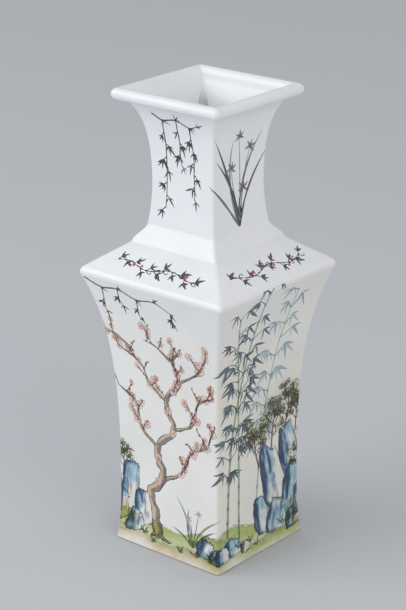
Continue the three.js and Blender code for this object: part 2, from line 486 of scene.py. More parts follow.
def closing(pen: Pen, geometry: Sock, place: Sock, turns: Sock, finish: Sock) -> None:
    """End a group.

    Args:
        pen: writes into the group.
        geometry: the tube.
        place: where its points go.
        turns: quarter turns to its side.
        finish: its material.
    """
    moved = pen.node("GeometryNodeSetPosition", {}, {"Geometry": geometry, "Position": place})
    smooth = pen.node("GeometryNodeSetShadeSmooth", {}, {"Geometry": moved, "Shade Smooth": True})
    turn = pen.node("ShaderNodeCombineXYZ", {}, {2: turns * QUARTER})
    turned = pen.node("GeometryNodeTransform", {}, {"Geometry": smooth, "Rotation": turn})
    real = pen.node("GeometryNodeRealizeInstances", {}, {"Geometry": turned})
    dressed = pen.node("GeometryNodeSetMaterial", {}, {"Geometry": real, "Material": finish})
    pen.node("NodeGroupOutput", {}, {0: dressed})


def swept(pen: Pen, profile: Sock, count: Sock | int) -> Sock:
    """Carry a loop along a straight path.

    Args:
        pen: writes into the group.
        profile: the mesh loop.
        count: how many rings.

    Returns:
        A tube whose rings are numbered in the attribute station.
    """
    ends = {"Start": (0.0, 0.0, 0.0), "End": (1.0, 0.0, 0.0)}
    line = pen.node("GeometryNodeCurvePrimitiveLine", {}, ends)
    rings = pen.node("GeometryNodeResampleCurve", {}, {"Curve": line, "Count": count})
    index = pen.node("GeometryNodeInputIndex")
    settings = {"data_type": "INT", "domain": "POINT"}
    inputs = {"Geometry": rings, "Name": "station", "Value": index}
    numbered = pen.node("GeometryNodeStoreNamedAttribute", settings, inputs)
    loop = pen.node("GeometryNodeMeshToCurve", {}, {"Mesh": profile})
    inputs = {"Curve": numbered, "Profile Curve": loop, "Fill Caps": True}
    return pen.node("GeometryNodeCurveToMesh", {}, inputs)


@dataclass
class SlabTree:
    """Geometry Nodes that carry an outline along one side, past each mitre by an overlap."""

    overlap: float = 0.01

    def build(self) -> NodeTree:
        """Make the group.

        Returns:
            The group; its inputs are Flat columns, Corner columns, Corner width, Turns and Finish.
        """
        sockets = {"Flat columns": "Int", "Corner columns": "Int", "Corner width": "Float"}
        tree, pen, start = new_group("mitred_slab", sockets)
        flat, corner = start.sibling("Flat columns"), start.sibling("Corner columns")
        width = start.sibling("Corner width")
        tube = swept(pen, start, flat + 2.0 * corner + 1.0)
        half, height, arris = named(pen, "half"), named(pen, "height"), named(pen, "arris")
        station = named(pen, "station", "INT") * 1.0
        left = (1.0 - station / corner).most(0.0)
        right = ((station - corner - flat) / corner).most(0.0)
        across = ((station - corner) / flat).most(0.0).least(1.0) * 2.0 - 1.0
        turned, straight = corner_walk(left + right, arris, width)
        past = (left + right) * (self.overlap * MM)
        x = across * (half - width + straight + arris * turned.sine() + past)
        y = arris - half - arris * turned.cosine()
        place = pen.node("ShaderNodeCombineXYZ", {}, {0: x, 1: y, 2: height})
        closing(pen, tube, place, start.sibling("Turns"), start.sibling("Finish"))
        return tree


def corner_walk(share: Sock, arris: Sock, width: Sock) -> tuple[Sock, Sock]:
    """Where a corner column lies: first along the flat, then round the arris.

    Args:
        share: 0 where the corner starts and 1 on the mitre.
        arris: radius of the upright corner.
        width: width of the corner before it is rounded.

    Returns:
        The angle turned in radians, and the straight way gone.
    """
    gone = share * (width - arris + arris * (math.pi / 4))
    straight = gone.least(width - arris)
    return (gone - straight) / arris.most(TINY), straight


@dataclass
class FilletTree:
    """Geometry Nodes for an upright roll of clay that fills an inside corner to a hollow curve."""

    def build(self) -> NodeTree:
        """Make the group.

        Returns:
            The group; its object carries the section's loop, and Path is an object whose points
            carry the lining's half, the height and the roll's reach for each ring.
        """
        tree, pen, start = new_group("corner_fillet", {"Rings": "Int", "Path": "Object"})
        tube = swept(pen, start, start.sibling("Rings"))
        path = pen.node("GeometryNodeObjectInfo", {}, {"Object": start.sibling("Path")}, "Geometry")
        station = named(pen, "station", "INT")
        values = [named(pen, name) for name in ("half", "height", "reach")]
        inputs = [{"Geometry": path, "Value": value, "Index": station} for value in values]
        half, height, reach = (pen.node("GeometryNodeSampleIndex", {}, each) for each in inputs)
        x = half + named(pen, "back") - reach * named(pen, "across")
        y = half + named(pen, "back") - reach * named(pen, "inward")
        place = pen.node("ShaderNodeCombineXYZ", {}, {0: x, 1: y * -1.0, 2: height})
        closing(pen, tube, place, start.sibling("Turns"), start.sibling("Finish"))
        return tree


def loop_object(name: str, attributes: Mapping[str, Array], closed: bool = True) -> Object:
    """An object whose mesh is one chain of edges that carries point attributes.

    Args:
        name: the object's name.
        attributes: values for each point, float or integer.
        closed: whether the last point joins the first.

    Returns:
        The linked object.
    """
    count = len(next(iter(attributes.values())))
    edges = [(i, (i + 1) % count) for i in range(count if closed else count - 1)]
    mesh = bpy.data.meshes.new(name)
    turns = np.linspace(0, 2 * math.pi, count, endpoint=False)
    mesh.from_pydata([(0.0, math.cos(turn), math.sin(turn)) for turn in turns], edges, [])
    for label, values in attributes.items():
        kind = "INT" if values.dtype.kind == "i" else "FLOAT"
        layer = mesh.attributes.new(label, kind, "POINT")
        layer.data.foreach_set("value", values.astype(np.int32 if kind == "INT" else np.float32))
    return new_object(name, mesh)


def settle(piece: Object, tree: NodeTree, values: Mapping[str, object]) -> None:
    """Run a Geometry Nodes group on a piece and keep its result as a plain mesh.

    Args:
        piece: the object that carries the outline.
        tree: the group.
        values: the group's inputs by name.
    """
    modifier = piece.modifiers.new("form", "NODES")
    modifier.node_group = tree
    for socket in tree.interface.items_tree:
        if socket.in_out == "INPUT" and socket.name in values:
            modifier[socket.identifier] = values[socket.name]
    graph = bpy.context.evaluated_depsgraph_get()
    mesh = bpy.data.meshes.new_from_object(piece.evaluated_get(graph))
    piece.modifiers.remove(modifier)
    old, piece.data = piece.data, mesh
    bpy.data.meshes.remove(old)
    mesh.name = piece.name


# Places of the skin, the lining and the caps in the unit square of the texture.
SKIN_LEFT, SKIN_WIDTH, SKIN_TOP, LINING_TOP = 0.005, 0.955, 0.9, 0.995
CAP_LEFT, CAP_WIDTH, CAP_HEIGHT = 0.965, 0.03, 0.49


@dataclass
class Panel:
    """A slab's fine mesh seen as a grid of rows (along the outline) and stations (across).

    The columns are counted on the flat and on each corner, and width is that of a corner before it
    is rounded, in millimetres.
    """

    piece: Object
    outline: Outline
    side: Side
    flat: int
    corner: int
    width: float

    def __post_init__(self) -> None:
        """Place the stations: signed place across the flat, -1 to 1, and share of the corner."""
        k = np.arange(self.flat + 2 * self.corner + 1, dtype=float)
        self.across = np.clip((k - self.corner) / self.flat, 0, 1) * 2 - 1
        left, right = 1 - k / self.corner, (k - self.corner - self.flat) / self.corner
        self.share = np.maximum(0, left) + np.maximum(0, right)

    def walk(self, arris: Array, share: Array) -> tuple[Array, Array]:
        """Go round the corner.

        Args:
            arris: the corner's radius.
            share: share of the corner.

        Returns:
            The angle turned and the whole way gone.
        """
        gone = share * (self.width - arris + arris * (math.pi / 4))
        straight = np.minimum(gone, self.width - arris)
        return (gone - straight) / np.maximum(arris, TINY), gone

    def skin_grid(self) -> tuple[Array, Array]:
        """Unroll the skin.

        Returns:
            Places across and up it in millimetres, rows by stations.
        """
        rows = self.outline.skin_rows
        half = self.outline.points[:rows, 0][:, None]
        arris = self.outline.arris[:rows][:, None]
        _, gone = self.walk(arris, self.share[None])
        x = self.across[None] * (half - self.width + gone)
        return x, np.repeat(self.outline.skin_length()[:, None], x.shape[1], 1)

    def places(self) -> tuple[Array, Array]:
        """Row and station of each vertex."""
        stored = self.piece.data.attributes
        return read(stored["row"].data, "value"), read(stored["station"].data, "value")

    def grid_index(self) -> Array:
        """Number the grid.

        Returns:
            The vertex at each row and station.
        """
        row, station = self.places()
        index = np.empty((len(self.outline.points), len(self.share)), np.int64)
        index[row, station] = np.arange(len(row))
        return index

    def faces(self) -> tuple[Array, Array, Array, Array]:
        """Read the faces.

        Returns:
            Vertex of each face corner, first corner and size of each face, face of each corner.
        """
        mesh = self.piece.data
        size = read(mesh.polygons, "loop_total")
        face = np.repeat(np.arange(len(size)), size)
        return read(mesh.loops, "vertex_index"), read(mesh.polygons, "loop_start"), size, face

    def smooth(self) -> None:
        """Give every face corner the true normal of its run, so that no facet and no seam shows."""
        mesh, outline = self.piece.data, self.outline
        row, station = self.places()
        corners, first, size, face = self.faces()
        normals = read(mesh.polygons, "normal", np.float32, 3).reshape(-1, 3)[face].astype(float)
        rows = row[corners]
        low, high = np.minimum.reduceat(rows, first), np.maximum.reduceat(rows, first)
        segment = np.where(high - low > 1, high, low)[face]
        way = np.where((rows == segment)[:, None], outline.leaving[segment], outline.reaching[segment])
        arris = outline.arris
        step = np.linalg.norm(np.roll(outline.points, -1, 0) - outline.points, axis=1)
        slope = ((np.roll(arris, -1) - arris) / np.maximum(step, TINY))[segment]
        theta, _ = self.walk(arris[rows], self.share[station[corners]])
        sine, cosine = np.sin(theta), np.cos(theta)
        rise_x, rise_y = way[:, 0] - slope * (1 - sine), way[:, 0] - slope * (1 - cosine)
        x = np.sign(self.across[station[corners]]) * sine * way[:, 1]
        out = np.stack([x, -cosine * way[:, 1], -(cosine * rise_y + sine * rise_x)], 1)
        out /= np.linalg.norm(out, axis=1, keepdims=True)
        turn = self.side.value * QUARTER
        c, s = round(math.cos(turn)), round(math.sin(turn))
        out[:, :2] = np.stack([c * out[:, 0] - s * out[:, 1], s * out[:, 0] + c * out[:, 1]], 1)
        mesh.normals_split_custom_set(np.where((size == 4)[face][:, None], out, normals).tolist())

    def turn_quads(self, depth: Array) -> None:
        """Start each quad where its diagonal carries the painting's edges best.

        Args:
            depth: how deep each vertex lies in a stroke.
        """
        mesh = self.piece.data
        corners, first, size, _ = self.faces()
        quads = first[size == 4]
        a, b, c, d = (depth[corners[quads + i]] for i in range(4))
        turned = quads[b + d > a + c]
        order = np.arange(len(corners))
        for i in range(4):
            order[turned + i] = turned + (i + 1) % 4
        corner_data = (".corner_vert", "value", 1), (".corner_edge", "value", 1), ("OFBake", "vector", 2)
        for name, key, width in corner_data:
            data = mesh.attributes[name].data
            values = read(data, key, np.float32 if width == 2 else np.int32, width).reshape(-1, width)
            data.foreach_set(key, values[order].ravel())
        mesh.update()
        self.smooth()

    def unwrap(self) -> None:
        """Lay the skin over most of the unit square, the lining above it and the caps beside it."""
        points, rows = self.outline.points, self.outline.skin_rows
        count = len(points)
        gone = run_length(points)
        v = np.empty(count + 1)
        v[:rows] = SKIN_TOP * gone[:rows] / gone[rows - 1]
        tail = np.append(gone[rows:], gone[-1] + 1.0) - gone[rows - 1]
        v[rows:] = SKIN_TOP + (LINING_TOP - SKIN_TOP) * tail / tail[-1]
        row, station = self.places()
        corners, first, size, face = self.faces()
        r, k = row[corners], station[corners]
        spans = np.maximum.reduceat(r, first)[face] - np.minimum.reduceat(r, first)[face]
        wraps = (spans > 1) & (r == 0)
        _, gone = self.walk(np.full_like(self.share, self.width), self.share)
        middle = float(points[:rows, 0].mean())
        place = self.across * (middle - self.width + gone)
        u = SKIN_LEFT + SKIN_WIDTH * (place - place[0]) / (place[-1] - place[0])
        uv = np.stack([u[k], np.where(wraps, v[count], v[r])], 1)
        spot = (points[r] - points.min(0)) / np.ptp(points, axis=0).max()
        lift = np.where(k == 0, 0.0, 0.5)
        caps = np.stack([CAP_LEFT + CAP_WIDTH * spot[:, 0], lift + CAP_HEIGHT * spot[:, 1]], 1)
        uv = np.where((size == 4)[face][:, None], uv, caps)
        layer = self.piece.data.uv_layers.new(name="OFBake")
        layer.data.foreach_set("uv", uv.astype(np.float32).ravel())


def face_out(mesh: Mesh) -> None:
    """Turn a closed mesh's faces outwards.

    Args:
        mesh: the mesh.
    """
    mesh.calc_loop_triangles()
    corners = read(mesh.loop_triangles, "vertices", np.int32, 3)
    points = read(mesh.vertices, "co", np.float32, 3).reshape(-1, 3)
    a, b, c = points[corners.reshape(-1, 3)].transpose(1, 0, 2).astype(float)
    if float(np.einsum("ij,ij->i", a, np.cross(b, c)).sum()) <= 0:
        mesh.flip_normals()


# Painting


# The depth outside all strokes and the margin round a stroke, in millimetres; how many pairs of a
# line and a place are worked on at once; size of the noise's grid, and how far aside it is read.
FAR = 4.0
MARGIN = 1.3
CELLS = 150_000
TILE, ASIDE = 64, 100


def linear(*levels: int) -> Triple:
    """A colour given in the usual 0 to 255 steps, as the light values that nodes take."""
    shares = (level / 255 for level in levels)
    return tuple(c / 12.92 if c < 0.04045 else ((c + 0.055) / 1.055) ** 2.4 for c in shares)


class Layer(Enum):
    """Layers of crisp strokes over the soft washes: broad coloured ones, and fine dark ones on top."""

    BRUSH = "brush"
    INK = "ink"


class Hue(Enum):
    """Overglaze colours as they look on the white porcelain, in 0 to 255 steps."""

    INK = (36, 36, 42)
    SLATE = (46, 58, 80)
    DEEP = (54, 80, 122)
    BLUE = (104, 138, 178)
    TURQUOISE = (148, 196, 204)
    CREAM = (244, 237, 220)
    WILLOW = (190, 203, 118)
    OLIVE = (112, 128, 66)
    MOSS = (58, 72, 48)
    SAND = (226, 206, 164)
    OCHRE = (190, 146, 88)
    UMBER = (108, 76, 54)
    CORAL = (200, 70, 54)
    PINK = (242, 186, 176)
    LEMON = (232, 196, 98)
    BARE = (250, 250, 247)

    @property
    def light(self) -> Array:
        """The colour as light values."""
        return np.array(linear(*self.value))


def blend(low: Hue, high: Hue, share: float) -> Array:
    """Two pigments mixed, as light values."""
    return low.light * (1 - share) + high.light * share


GREENS = (
    (Hue.OLIVE, Hue.BLUE, 0.3), (Hue.MOSS, Hue.OLIVE, 0.4),
    (Hue.OLIVE, Hue.WILLOW, 0.25), (Hue.OLIVE, Hue.TURQUOISE, 0.3),
)
LEAVES = (
    (Hue.MOSS, Hue.INK, 0.2), (Hue.UMBER, Hue.MOSS, 0.5), (Hue.MOSS, Hue.OLIVE, 0.5),
    (Hue.OLIVE, Hue.OCHRE, 0.3), (Hue.OLIVE, Hue.WILLOW, 0.4),
)
NEAR_BAMBOO = (
    (Hue.DEEP, Hue.DEEP, 0.0), (Hue.DEEP, Hue.MOSS, 0.5),
    (Hue.SLATE, Hue.DEEP, 0.3), (Hue.BLUE, Hue.OLIVE, 0.4),
)


def soft_step(low: float, high: float, value: Array) -> Array:
    """0 below low and 1 above high, with a soft way between."""
    share = np.clip((value - low) / (high - low), 0, 1)
    return share * share * (3 - 2 * share)


def cloud(x: Array, y: Array, size: float, seed: int, octaves: int = 3) -> Array:
    """Soft noise between 0 and 1.

    Args:
        x: x of the places.
        y: their y.
        size: size of the largest patches.
        seed: seed of the first octave.
        octaves: how many there are, each half as large and half as strong as the last.

    Returns:
        A value for each place.
    """
    total, weight = np.zeros(np.shape(x)), 0.0
    for octave in range(octaves):
        grid = np.random.default_rng(seed + octave).random((TILE, TILE))
        u, v = x * 2**octave / size + ASIDE, y * 2**octave / size + ASIDE
        i, j = np.floor(u).astype(int), np.floor(v).astype(int)
        fu, fv = u - i, v - j
        fu, fv = fu * fu * (3 - 2 * fu), fv * fv * (3 - 2 * fv)
        i, j = (np.stack([k, k + 1]) % TILE for k in (i, j))
        start, end = (grid[i[a], j[0]] * (1 - fv) + grid[i[a], j[1]] * fv for a in (0, 1))
        total += (start * (1 - fu) + end * fu) / 2**octave
        weight += 1 / 2**octave
    return total / weight


def bent(points: Line, count: int) -> Array:
    """A smooth curve through points.

    Args:
        points: the points.
        count: how many steps lie between each two.

    Returns:
        The curve's points.
    """
    knots = np.asarray(points, float)
    padded = np.concatenate([[2 * knots[0] - knots[1]], knots, [2 * knots[-1] - knots[-2]]])
    t = np.linspace(0, 1, count, endpoint=False)[:, None]
    spans = []
    for p0, p1, p2, p3 in zip(padded, padded[1:], padded[2:], padded[3:]):
        square, cube = 2 * p0 - 5 * p1 + 4 * p2 - p3, 3 * p1 - p0 - 3 * p2 + p3
        spans.append(0.5 * (2 * p1 + (p2 - p0) * t + square * t**2 + cube * t**3))
    return np.concatenate([*spans, knots[-1:]])


@dataclass(frozen=True)
class Brush:
    """Light values of a pigment, how dense it is laid on, and the layer that it goes on."""

    colour: Array
    tone: float = 0.92
    layer: Layer = Layer.BRUSH


Brushes = Sequence[Brush]


def fine(pigment: Hue, tone: float = 0.9) -> Brush:
    """A fine brush, whose strokes lie on top."""
    return Brush(pigment.light, tone, Layer.INK)


MAUVE = Brush(blend(Hue.PINK, Hue.BLUE, 0.35), 0.85)
WET_INK = fine(Hue.INK, 0.95)


@dataclass
class Sheet:
    """The painting surface of four panels that stand in a ring, with its layers.

    A place on it is a side and (x, up) in millimetres: x from the side's middle, unrolled round the
    upright corners, and up along the skin. Strokes that pass a corner go on along the next side.
    """

    panels: dict[Side, Panel]

    def __post_init__(self) -> None:
        """Start with bare glaze."""
        self.x, self.up = self.panels[Side.FRONT].skin_grid()
        self.reach = self.x[:, -1:]
        shape = (len(Side), *self.x.shape)
        self.wash = np.ones((*shape, 3), np.float32)
        self.edge = {layer: np.full(shape, -FAR, np.float32) for layer in Layer}
        self.tint = {layer: np.zeros((*shape, 4), np.float32) for layer in Layer}

    def windows(self, side: Side, low: Array, high: Array) -> Iterator[tuple]:
        """Find the vertices in a box, also round the corners.

        Args:
            side: the side that the box is given on.
            low: its least x and up.
            high: its greatest x and up.

        Yields:
            Index of the vertices in a layer's array, and their x and up as seen from the side.
        """
        first, last = np.searchsorted(self.up[:, 0], (low[1], high[1]))
        if last <= first:
            return
        least = float(self.reach[first:last].min())
        for shift in (-1, 0, 1):
            if (shift > 0 and high[0] < least) or (shift < 0 and low[0] > -least):
                continue
            x = self.x[first:last] + 2 * shift * self.reach[first:last]
            hit = np.flatnonzero(((x >= low[0]) & (x <= high[0])).any(0))
            if len(hit):
                rows, columns = slice(first, last), slice(hit[0], hit[-1] + 1)
                index = ((side.value + shift) % len(Side), rows, columns)
                yield index, x[:, columns], self.up[rows, columns]

    def stroke(self, side: Side, points: Sequence, widths: float | Spot, brush: Brush) -> None:
        """Draw one brush stroke on top of its layer.

        Args:
            side: the side it is drawn on.
            points: its middle line; a single point makes a dot.
            widths: its width, all along or at each point.
            brush: its paint.
        """
        line = np.asarray(points, float).reshape(-1, 2)
        half = np.broadcast_to(np.asarray(widths, float) / 2, len(line))
        if len(line) == 1:
            line, half = np.repeat(line, 2, 0), np.repeat(half, 2)
        pad = half.max() + MARGIN
        for index, x, up in self.windows(side, line.min(0) - pad, line.max(0) + pad):
            depth = depth_in_stroke(x, up, line, half)
            edge, tint = self.edge[brush.layer][index], self.tint[brush.layer][index]
            taken = (depth > 0) | (depth > edge)
            edge[taken] = depth[taken]
            tint[taken] = (*brush.colour, brush.tone)

    def wash_over(self, index: tuple, pigment: Hue, share: Array) -> None:
        """Lay a clear colour over the washes with a share for each vertex."""
        share = np.clip(share, 0, 1)[..., None]
        self.wash[index] *= 1 - share + share * pigment.light

    def age(self, side: Side, pigment: Hue, strength: float) -> None:
        """Tint a whole side like old paper, less towards its top.

        Args:
            side: the side.
            pigment: the tint.
            strength: its greatest share; a strong tint is also painted shade, warmer and dimmer.
        """
        index = (side.value, slice(None), slice(None))
        patches = 0.55 + 0.7 * cloud(self.x + 60 * side.value, self.up, 34.0, 5)
        self.wash_over(index, pigment, strength * patches * (1 - 0.55 * soft_step(120, 215, self.up)))

    def clear(self, index: tuple, depth: Array) -> None:
        """Wipe everything inside a shape, before it is painted in front of what was there.

        Args:
            index: the vertices in a layer's array.
            depth: how deep each lies in the shape.
        """
        share = soft_step(0.0, 0.5, depth)[..., None]
        self.wash[index] = self.wash[index] * (1 - share) + share
        for layer in Layer:
            self.edge[layer][index] = np.minimum(self.edge[layer][index], -depth)

    def write(self) -> None:
        """Store the layers on the panels' meshes as point attributes."""
        for side, panel in self.panels.items():
            mesh = panel.piece.data
            index = panel.grid_index()[: panel.outline.skin_rows].ravel()
            colours = {"wash": self.wash[side.value]}
            colours |= {layer.value: self.tint[layer][side.value] for layer in Layer}
            for name, values in colours.items():
                flat = np.ones((len(mesh.vertices), 4), np.float32)
                flat[index, : values.shape[-1]] = values.reshape(-1, values.shape[-1])
                tint = mesh.attributes.new(name, "FLOAT_COLOR", "POINT")
                tint.data.foreach_set("color", flat.ravel())
            depth = np.zeros(len(mesh.vertices), np.float32)
            for layer in Layer:
                flat = np.full(len(mesh.vertices), -FAR, np.float32)
                flat[index] = self.edge[layer][side.value].ravel()
                depth += flat.clip(-0.6, 0.6)
                edge = mesh.attributes.new(f"{layer.value}_edge", "FLOAT", "POINT")
                edge.data.foreach_set("value", flat)
            panel.turn_quads(depth)


def along(x: Array, up: Array, a: Array, b: Array) -> tuple[Array, Array]:
    """Find for each place the nearest points of a stack of straight lines.

    Args:
        x: x of the places.
        up: their up.
        a: starts of the lines.
        b: ends of the lines.

    Returns:
        The share of each line gone at the nearest point, and the distance to it.
    """
    a, b = a[:, :, None, None], b[:, :, None, None]
    way = b - a
    px, py = x[None] - a[:, 0], up[None] - a[:, 1]
    share = np.clip((px * way[:, 0] + py * way[:, 1]) / np.maximum((way**2).sum(1), TINY), 0, 1)
    return share, np.hypot(px - share * way[:, 0], py - share * way[:, 1])


def blocks(count: int, size: int) -> Iterator[slice]:
    """Split a stack of lines, so that the work on each part of it stays small.

    Args:
        count: how many lines there are.
        size: how many places are looked at.

    Yields:
        The parts.
    """
    block = max(1, CELLS // max(1, size))
    for first in range(0, count, block):
        yield slice(first, first + block)


def depth_in_stroke(x: Array, up: Array, line: Array, half: Array) -> Array:
    """How deep each place lies inside a line of varying half width, in millimetres.

    Args:
        x: x of the places.
        up: their up.
        line: points of the line.
        half: half width at each point.

    Returns:
        The depths, negative outside.
    """
    best, half = np.full(x.shape, -np.inf), half[:, None, None]
    for part in blocks(len(line) - 1, x.size):
        share, gap = along(x, up, line[:-1][part], line[1:][part])
        start, end = half[:-1][part], half[1:][part]
        best = np.maximum(best, (start + (end - start) * share - gap).max(0))
    return best


def depth_in_shape(x: Array, up: Array, corners: Array) -> Array:
    """How deep each place lies inside a closed shape, in millimetres.

    Args:
        x: x of the places.
        up: their up.
        corners: the shape's corners.

    Returns:
        The depths, negative outside.
    """
    nearest, inside = np.full(x.shape, np.inf), np.zeros(x.shape, bool)
    following = np.roll(corners, -1, 0)
    for part in blocks(len(corners), x.size):
        a, b = corners[part], following[part]
        nearest = np.minimum(nearest, along(x, up, a, b)[1].min(0))
        a, b = a[:, :, None, None], b[:, :, None, None]
        rise = np.where(np.abs(b[:, 1] - a[:, 1]) < TINY, TINY, b[:, 1] - a[:, 1])
        crossing = a[:, 0] + (b[:, 0] - a[:, 0]) * (up - a[:, 1]) / rise
        spans = (a[:, 1] > up) != (b[:, 1] > up)
        inside ^= ((spans & (x < crossing)).sum(0) % 2).astype(bool)
    return np.where(inside, nearest, -nearest)


def arched(base: Spot, angle: float, length: float, bend: float, count: int, power: float = 2) -> Array:
    """A line that starts at an angle in degrees and bends to its left by a share of its length."""
    way, t = heading(angle), np.linspace(0, 1, count)[:, None]
    return np.asarray(base) + length * (t * way + bend * t**power * np.array([-way[1], way[0]]))


def leaf_widths(width: float, count: int) -> Array:
    """Widths along a leaf that swells fast and ends in a long point."""
    t = np.linspace(0, 1, count)
    return width * np.minimum((t / 0.3 + 0.02) ** 0.8, ((1 - t) / 0.7 + 0.01) ** 0.85)


@dataclass
class Painter:
    """A hand that paints the traditional motifs of garden plants and rocks on one side."""

    sheet: Sheet
    side: Side
    seed: int

    def __post_init__(self) -> None:
        """Start the random draws and lay out the brushes."""
        self.draw = np.random.default_rng(self.seed)
        self.green = [Brush(blend(*pair)) for pair in GREENS]
        self.leaves = [Brush(blend(*pair), 0.9) for pair in LEAVES]

    def between(self, low: float, high: float) -> float:
        """A random number between two values."""
        return float(self.draw.uniform(low, high))

    def pick(self, choices: Sequence) -> Union[Brush, int]:
        """One of several brushes or numbers."""
        return choices[int(self.draw.integers(len(choices)))]

    def stroke(self, points: Sequence, widths: float | Spot, brush: Brush) -> None:
        """One stroke on this side."""
        self.sheet.stroke(self.side, points, widths, brush)

    def contour(self, line: Array, low: float, high: float, brush: Brush) -> None:
        """A broken line of short strokes that swell and end fine, one after the other.

        Args:
            line: the points it follows.
            low: least width of a stroke's middle.
            high: greatest width of a stroke's middle.
            brush: its paint.
        """
        first = 0
        while first < len(line) - 2:
            piece = line[first : first + int(self.draw.integers(4, 10))]
            swell = np.interp(np.linspace(0, 1, len(piece)), [0, 0.4, 1], [0.3, 1, 0.3])
            self.stroke(piece, swell * self.between(low, high), brush)
            first += len(piece) - int(self.draw.integers(1, 3))

    def dabs(self, places: Array, low: float, high: float, brush: Brush) -> None:
        """Small dabs.

        Args:
            places: where they start.
            low: least width.
            high: greatest width.
            brush: their paint.
        """
        for place in places:
            end = place + heading(self.between(-30, 40)) * self.between(0.1, 0.8)
            self.stroke([place, end], [self.between(low, high), self.between(low, high)], brush)

    def leaf(
        self, base: Spot, angle: float, length: float, width: float, brush: Brush, bend: float = 0
    ) -> Array:
        """A pointed leaf.

        Args:
            base: where it starts.
            angle: the way it goes, in degrees.
            length: its length.
            width: its greatest width.
            brush: its paint.
            bend: how far it bends to the left, as a share of its length.

        Returns:
            Its tip.
        """
        line = arched(base, angle, length, bend, 9)
        self.stroke(line, leaf_widths(width, 9), brush)
        return line[-1]

    def spray(
        self, base: Spot, angle: float, count: int, size: float, brushes: Brushes, spread: float = 95
    ) -> None:
        """Bamboo leaves that hang from one point like open fingers.

        Args:
            base: where they start.
            angle: the way of the middle one, in degrees.
            count: how many.
            size: length of the longest.
            brushes: their paint.
            spread: angle between the outer ones.
        """
        for place in np.linspace(-0.5, 0.5, count) if count > 1 else (0.0,):
            length = size * self.between(0.72, 1.12) * (1 - 0.5 * abs(place))
            turned = angle + place * spread + self.between(-9, 9)
            wide, bend = length * self.between(0.15, 0.2), self.between(-0.12, 0.12)
            self.leaf(base, turned, length, wide, self.pick(brushes), bend)

    def twig(self, start: Spot, angle: float, length: float, width: float, brush: Brush) -> Array:
        """A thin bent twig.

        Args:
            start: where it starts.
            angle: the way it goes, in degrees.
            length: its length.
            width: its width at the start.
            brush: its paint.

        Returns:
            Its tip.
        """
        start = np.asarray(start, float)
        middle = start + heading(angle + self.between(-14, 14)) * length * 0.5
        end = middle + heading(angle + self.between(-16, 16)) * length * 0.5
        self.stroke(bent([start, middle, end], 3), np.linspace(max(width, 0.8), 0.62, 7), brush)
        return end

    def shade(self, place: Spot, reach: Spot, pigment: Hue, strength: float) -> None:
        """A soft round wash without an edge.

        Args:
            place: its middle.
            reach: how far it goes sideways and up before it has faded to a third.
            pigment: its colour.
            strength: its share in the middle.
        """
        place, reach = np.asarray(place, float), np.asarray(reach, float)
        for index, x, up in self.sheet.windows(self.side, place - 2.2 * reach, place + 2.2 * reach):
            gap = ((x - place[0]) / reach[0]) ** 2 + ((up - place[1]) / reach[1]) ** 2
            self.sheet.wash_over(index, pigment, strength * np.exp(-gap))

    def ground(self, points: Line, depth: float, pigment: Hue, strength: float = 0.8) -> None:
        """A bank: washes under a broken contour, with dabs of moss.

        Args:
            points: its upper edge.
            depth: how far down its wash goes.
            pigment: its colour.
            strength: density of the wash.
        """
        line = bent(points, 6)
        low, high = line.min(0) - (0, 1.9 * depth), line.max(0) + 1
        for index, x, up in self.sheet.windows(self.side, low, high):
            under = np.interp(x, line[:, 0], line[:, 1]) - up
            under += 2.4 * (cloud(x, up, 8.0, self.seed) - 0.5) * (1 + under / depth)
            share = soft_step(-0.4, 1.4, under) * (1 - soft_step(0.35 * depth, 1.7 * depth, under))
            share *= 0.65 + 0.7 * cloud(x * 0.6, up * 1.6, 5.0, self.seed + 9)
            share *= soft_step(line[0, 0], line[0, 0] + 20, x)
            share *= soft_step(-line[-1, 0], 20 - line[-1, 0], -x)
            self.sheet.wash_over(index, pigment, strength * share)
            shadow = soft_step(-0.3, 0.8, under) * (1 - soft_step(0.8, 4.0, under))
            shadow *= cloud(x, up, 6.0, self.seed + 4)
            self.sheet.wash_over(index, Hue.OLIVE, 0.4 * strength * shadow)
        self.contour(line, 0.35, 0.7, Brush(blend(Hue.SLATE, Hue.UMBER, 0.5), 0.75, Layer.INK))
        spots = line[self.draw.random(len(line)) < 0.6]
        spots = spots - (0, 1) * self.draw.uniform(0.2, 3, (len(spots), 1))
        self.dabs(spots, 0.4, 1.0, fine(Hue.MOSS, 0.75))

    def block(
        self, middle: Spot, width: float, height: float, lean: float, warm: float, light: float
    ) -> None:
        """One block of a garden rock: wiped clear, washed from blue to bare, creased and outlined.

        Args:
            middle: its middle.
            width: how wide it is.
            height: how high it is.
            lean: how far its top leans over, as a share of its height.
            warm: density of the sandy wash on its pale parts.
            light: -1 where the light comes from the left, 1 from the right.
        """
        middle = np.asarray(middle, float)
        count = 7 + int(min(width, 26) / 6)
        angle = np.linspace(0, 2 * math.pi, count, endpoint=False)
        angle += self.draw.uniform(-0.24, 0.24, count)
        round_off = np.stack([np.cos(angle), np.sin(angle)], 1)
        knots = np.sign(round_off) * np.abs(round_off) ** 0.68
        knots *= self.draw.uniform(0.76, 1.1, (count, 1)) / 2
        knots[:, 1] = knots[:, 1].clip(-0.44, 0.6)
        knots[:, 0] *= 1 - 0.45 * knots[:, 1]
        knots *= (width, height)
        knots[:, 0] += lean * knots[:, 1]
        steps = np.linspace(0, 1, 5)[:-1, None]
        edge = np.concatenate([a + (b - a) * steps for a, b in zip(knots, np.roll(knots, -1, 0))])
        edge += middle + self.draw.normal(0, 0.02 * min(width, 16), edge.shape)
        creases, down = [], np.array([-lean, -1]) * height
        for _ in range(1 + int(width / 8)):
            top = edge[self.pick(np.flatnonzero(edge[:, 1] > middle[1] + 0.15 * height))]
            fall = np.linspace(0, 1, 8)[:, None] * down * self.between(0.35, 0.75)
            creases.append(top + fall + np.cumsum(self.draw.normal(0, 0.022 * width, (8, 2)), 0))
